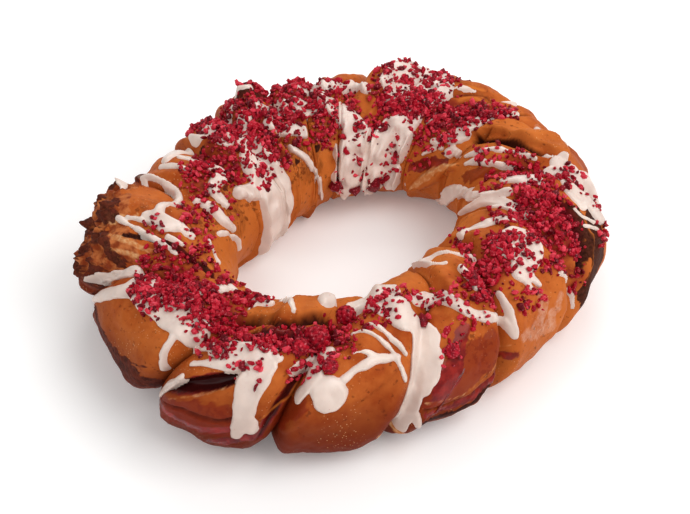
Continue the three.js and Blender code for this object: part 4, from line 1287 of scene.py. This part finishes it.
def raspberry_finish():
    """Dried raspberry: crimson with paler pink bloom, its tone set for each crumb by the mesh."""
    material, place = new_finish("dried_raspberry")
    uneven = place.attribute("tone") + place.noise(2, 3) * 0.6 - 0.3
    tone = uneven.ramp(BERRY_TONES)
    tone = (place.noise(1.0, 2).between(0.58, 0.68) * 0.4).mixed(tone, colour(234, 132, 140))
    height = place.noise(0.9, 2)
    return surface(material, place, {
        "Base Color": tone, "Roughness": 0.5, "Normal": height.bump(0.4, 0.3),
        "Specular IOR Level": 0.15, "Subsurface Weight": 0.1,
        "Subsurface Radius": (0.002, 0.0004, 0.0005)})


dried = raspberry_finish()
for number, berry in enumerate(BERRIES, 1):
    points, faces = berry_arrays(*berry, seed=number)
    tones = 0.3 + 0.12 * waves(points, 3, 50 + number)
    piece(f"berry_{number}", points, faces, dried, f"raspberry_{number}", {"tone": tones})

# %% [markdown]
# ## Crumbs
#
# Freeze-dried raspberry breaks into angular crumbs. Thousands of them lie along the top of the rope
# and pile up in its creases, and a few large flakes lie at its edges. Scattered copies of one crumb
# could do it, but then all would look alike. Each crumb is a small uneven ball with flat facets,
# turned at random, and all of them are one mesh. The heaps say how thickly they lie, and a seed
# keeps the scatter the same every time.

# %% Scatter
CRUMB_TRIES = 60000
# The skin that one crumb covers, in square millimetres.
CRUMB_AREA = 2.7
CRUMB_RADII = (0.7, 2.1)
CRUMB_ROPE = (-25, 205)
THICKEST = 0.97
CRUMBS_SINK = -4
# Ring angle, rope angle and radius in millimetres.
FLAKES = [(77, 190, 6.5), (88, 190, 4.5), (98, 185, 5.6), (291, 70, 3.2)]
random = np.random.default_rng(519)


def scatter(tries):
    """Ring and rope angles for crumbs. Each try stands for its share of the skin's area, and stays
    by the chance that this share holds a crumb where the cover is so thick."""
    ring, rope = random.uniform(0, 360, tries), random.uniform(*CRUMB_ROPE, tries)
    out, lift = rope_direction(rope)
    reach = bare_skin(ring, rope)
    places = on_rope(ring, out, lift, reach)
    arm = np.hypot(places[:, 0] - RING["centre"], places[:, 1])
    area = np.radians(360) * np.radians(CRUMB_ROPE[1] - CRUMB_ROPE[0]) * arm * reach / tries
    chance = -np.log(1 - THICKEST * crumb_cover(places)) * area / CRUMB_AREA
    keep = random.random(tries) < chance
    return ring[keep], rope[keep]


def crumb_seats(ring, rope):
    """The points where crumbs sit: on the icing where there is any, and else on the dough."""
    out, lift = rope_direction(rope)
    bare, bridged = finished_skin(ring, rope, BRIDGE, ICING_SINKS)
    inside = np.max([icing_inside(bare, strokes) for strokes in ICING.values()], axis=0)
    first, second = both_reaches(ring, rope)
    dough = finished_skin(ring, rope, 0, CRUMBS_SINK)[1]
    dough = dough + crease_dip(first - second, out, flap_mask(bare))
    reach = np.where(inside > 0.2, bridged + icing_height(inside, bare), dough)
    return on_rope(ring, out, lift, reach), out, lift


crumb_ring, crumb_rope = (np.concatenate([np.array(FLAKES)[:, axis], places])
                          for axis, places in enumerate(scatter(CRUMB_TRIES)))
seats, seat_out, seat_lift = crumb_seats(crumb_ring, crumb_rope)
print("crumbs placed:", len(seats))

# %% Crumb shapes
CRUMB_RINGS, CRUMB_SIDES = 2, 5


def crumb_ball():
    """Directions and triangles of a small ball: two rings of five points and two poles."""
    down = np.pi * (np.arange(CRUMB_RINGS) + 1) / (CRUMB_RINGS + 1)
    step = np.arange(CRUMB_SIDES)[None, :] + 0.5 * np.arange(CRUMB_RINGS)[:, None]
    around = 2 * np.pi * step / CRUMB_SIDES
    ring = np.stack([np.sin(down)[:, None] * np.cos(around), np.sin(down)[:, None] * np.sin(around),
                     np.cos(down)[:, None] + 0 * around], -1)
    points = np.concatenate([ring.reshape(-1, 3), [[0, 0, 1], [0, 0, -1]]])
    walls, caps = tube_faces(CRUMB_RINGS, CRUMB_SIDES)
    return points, np.concatenate([walls[:, [0, 1, 3]], walls[:, 1:], caps])


def random_turns(count):
    """Turning matrices from seeded quaternions."""
    quaternions = random.normal(size=(4, count))
    w, x, y, z = quaternions / np.linalg.norm(quaternions, axis=0)
    return np.stack([
        np.stack([1 - 2 * (y * y + z * z), 2 * (x * y - z * w), 2 * (x * z + y * w)], -1),
        np.stack([2 * (x * y + z * w), 1 - 2 * (x * x + z * z), 2 * (y * z - x * w)], -1),
        np.stack([2 * (x * z - y * w), 2 * (y * z + x * w), 1 - 2 * (x * x + y * y)], -1)], -2)


ball, ball_faces = crumb_ball()
print("a crumb has", len(ball), "points and", len(ball_faces), "triangles")

# %% Strewn crumbs
FLAKE_TONE = 0.08
CRUMB_STRETCH = [(1.0, 1.75), (0.75, 1.1), (0.5, 0.9)]
count = len(seats)
small, large = CRUMB_RADII
radius = small + (large - small) * random.random(count) ** 1.6
radius[:len(FLAKES)] = np.array(FLAKES)[:, 2]
stretch = np.stack([random.uniform(least, most, count) for least, most in CRUMB_STRETCH], -1)
shapes = ball[None] * random.uniform(0.7, 1.25, (count, len(ball), 1))
shapes = shapes * stretch[:, None] * radius[:, None, None]
shapes = np.einsum("nij,nkj->nki", random_turns(count), shapes)
lift_off = radius * random.uniform(0.1, 0.6, count) + random.exponential(0.35, count)
middle = on_rope(crumb_ring, seat_out, seat_lift, 0.0)
outward = on_rope(crumb_ring, seat_out, seat_lift, 1.0) - middle
outward /= np.linalg.norm(outward, axis=-1)[:, None]
crumb_points = (shapes + (seats + outward * lift_off[:, None])[:, None]).reshape(-1, 3)
crumb_faces = (ball_faces[None] + len(ball) * np.arange(count)[:, None, None]).reshape(-1, 3)
crumb_tone = np.clip(random.normal(0.42, 0.26, count), 0, 1)
crumb_tone[:len(FLAKES)] = FLAKE_TONE
crumb_tone = np.repeat(crumb_tone, len(ball))
piece("raspberry_crumbs", crumb_points, [crumb_faces], dried,
      marks={"tone": crumb_tone}, smooth=False)

# %% [markdown]
# ## Floor, light and camera
#
# The photo shows the kringle on plain white, from about forty degrees above the table. A picture of
# a studio could light it, but would need a file. A wide pale floor and large soft lamps give the same
# light, and the camera stands where the ring's outline in the photo puts it.

# %% Pale floor
def floor_finish():
    """Nearly white, with the faintest clouds."""
    material, place = new_finish("pale_floor")
    tone = place.noise(300, 2).mixed(colour(250, 249, 248), colour(253, 252, 251))
    return surface(material, place, {"Base Color": tone, "Roughness": 0.9, "Emission Color": tone,
                                     "Emission Strength": 0.12})


FLOOR_HALF, FLOOR_DROP = 4000.0, 0.05
corners = np.array([[-1, -1, 0], [1, -1, 0], [1, 1, 0], [-1, 1, 0]]) * FLOOR_HALF - [0, 0, FLOOR_DROP]
floor_mesh = bpy.data.meshes.new("floor")
floor_mesh.from_pydata((corners * MM).tolist(), [], [[0, 1, 2, 3]])
floor_mesh.materials.append(floor_finish())
floor_piece = placed("floor", floor_mesh)
print("floor:", 2 * FLOOR_HALF * MM, "m wide")

# %% Soft light
# Each lamp's place and width in metres, and its power in watts.
LAMPS = {"key": ((0.75, -0.4, 1.0), 1.0, 10), "fill": ((-0.6, -0.8, 1.0), 1.0, 3),
         "back": ((0.1, 1.0, 1.0), 0.9, 6)}
SKY = 0.5


def soft_lamp(name, place, aim, width, power):
    """A square lamp of a width in metres, turned towards a point."""
    lamp = bpy.data.lights.new(name, "AREA")
    lamp.size, lamp.energy = width, power
    made = placed(name, lamp)
    made.location = place
    heading = np.array(aim) - np.array(place)
    made.rotation_euler = (np.arctan2(np.hypot(*heading[:2]), -heading[2]), 0,
                           np.arctan2(heading[1], heading[0]) - np.pi / 2)


for name, (place, width, power) in LAMPS.items():
    soft_lamp(name, place, (0, 0, 0), width, power)
world = bpy.data.worlds.new("studio")
bpy.context.scene.world = world
world.use_nodes = True
world.node_tree.nodes["Background"].inputs[0].default_value = (1, 1, 1, 1)
world.node_tree.nodes["Background"].inputs[1].default_value = SKY
bpy.context.scene.view_settings.view_transform = "Standard"
print("lamps:", {name: power for name, (_, _, power) in LAMPS.items()}, "watts")

# %% Camera
# The rise is in degrees, the distance and the aim in metres, and the focal length and the middle
# of the picture in pixels.
IMAGE = (690, 514)
CAMERA = {"rise": 39.5, "distance": 0.9, "focal": 1624.5, "middle": (349.2, 245.0),
          "aim": (0.0036, 0, 0.03)}
SENSOR = 36
lens = bpy.data.cameras.new("camera")
lens.sensor_width = SENSOR
lens.lens = SENSOR * CAMERA["focal"] / IMAGE[0]
lens.shift_x = -(CAMERA["middle"][0] - IMAGE[0] / 2) / IMAGE[0]
lens.shift_y = -(IMAGE[1] / 2 - CAMERA["middle"][1]) / IMAGE[0]
camera = placed("camera", lens)
rise = np.radians(CAMERA["rise"])
backward = np.array([0, -np.cos(rise), np.sin(rise)])
camera.location = np.array(CAMERA["aim"]) + CAMERA["distance"] * backward
camera.rotation_euler = (np.pi / 2 - rise, 0, 0)
bpy.context.scene.camera = camera
print("camera lens:", round(lens.lens, 1), "mm")
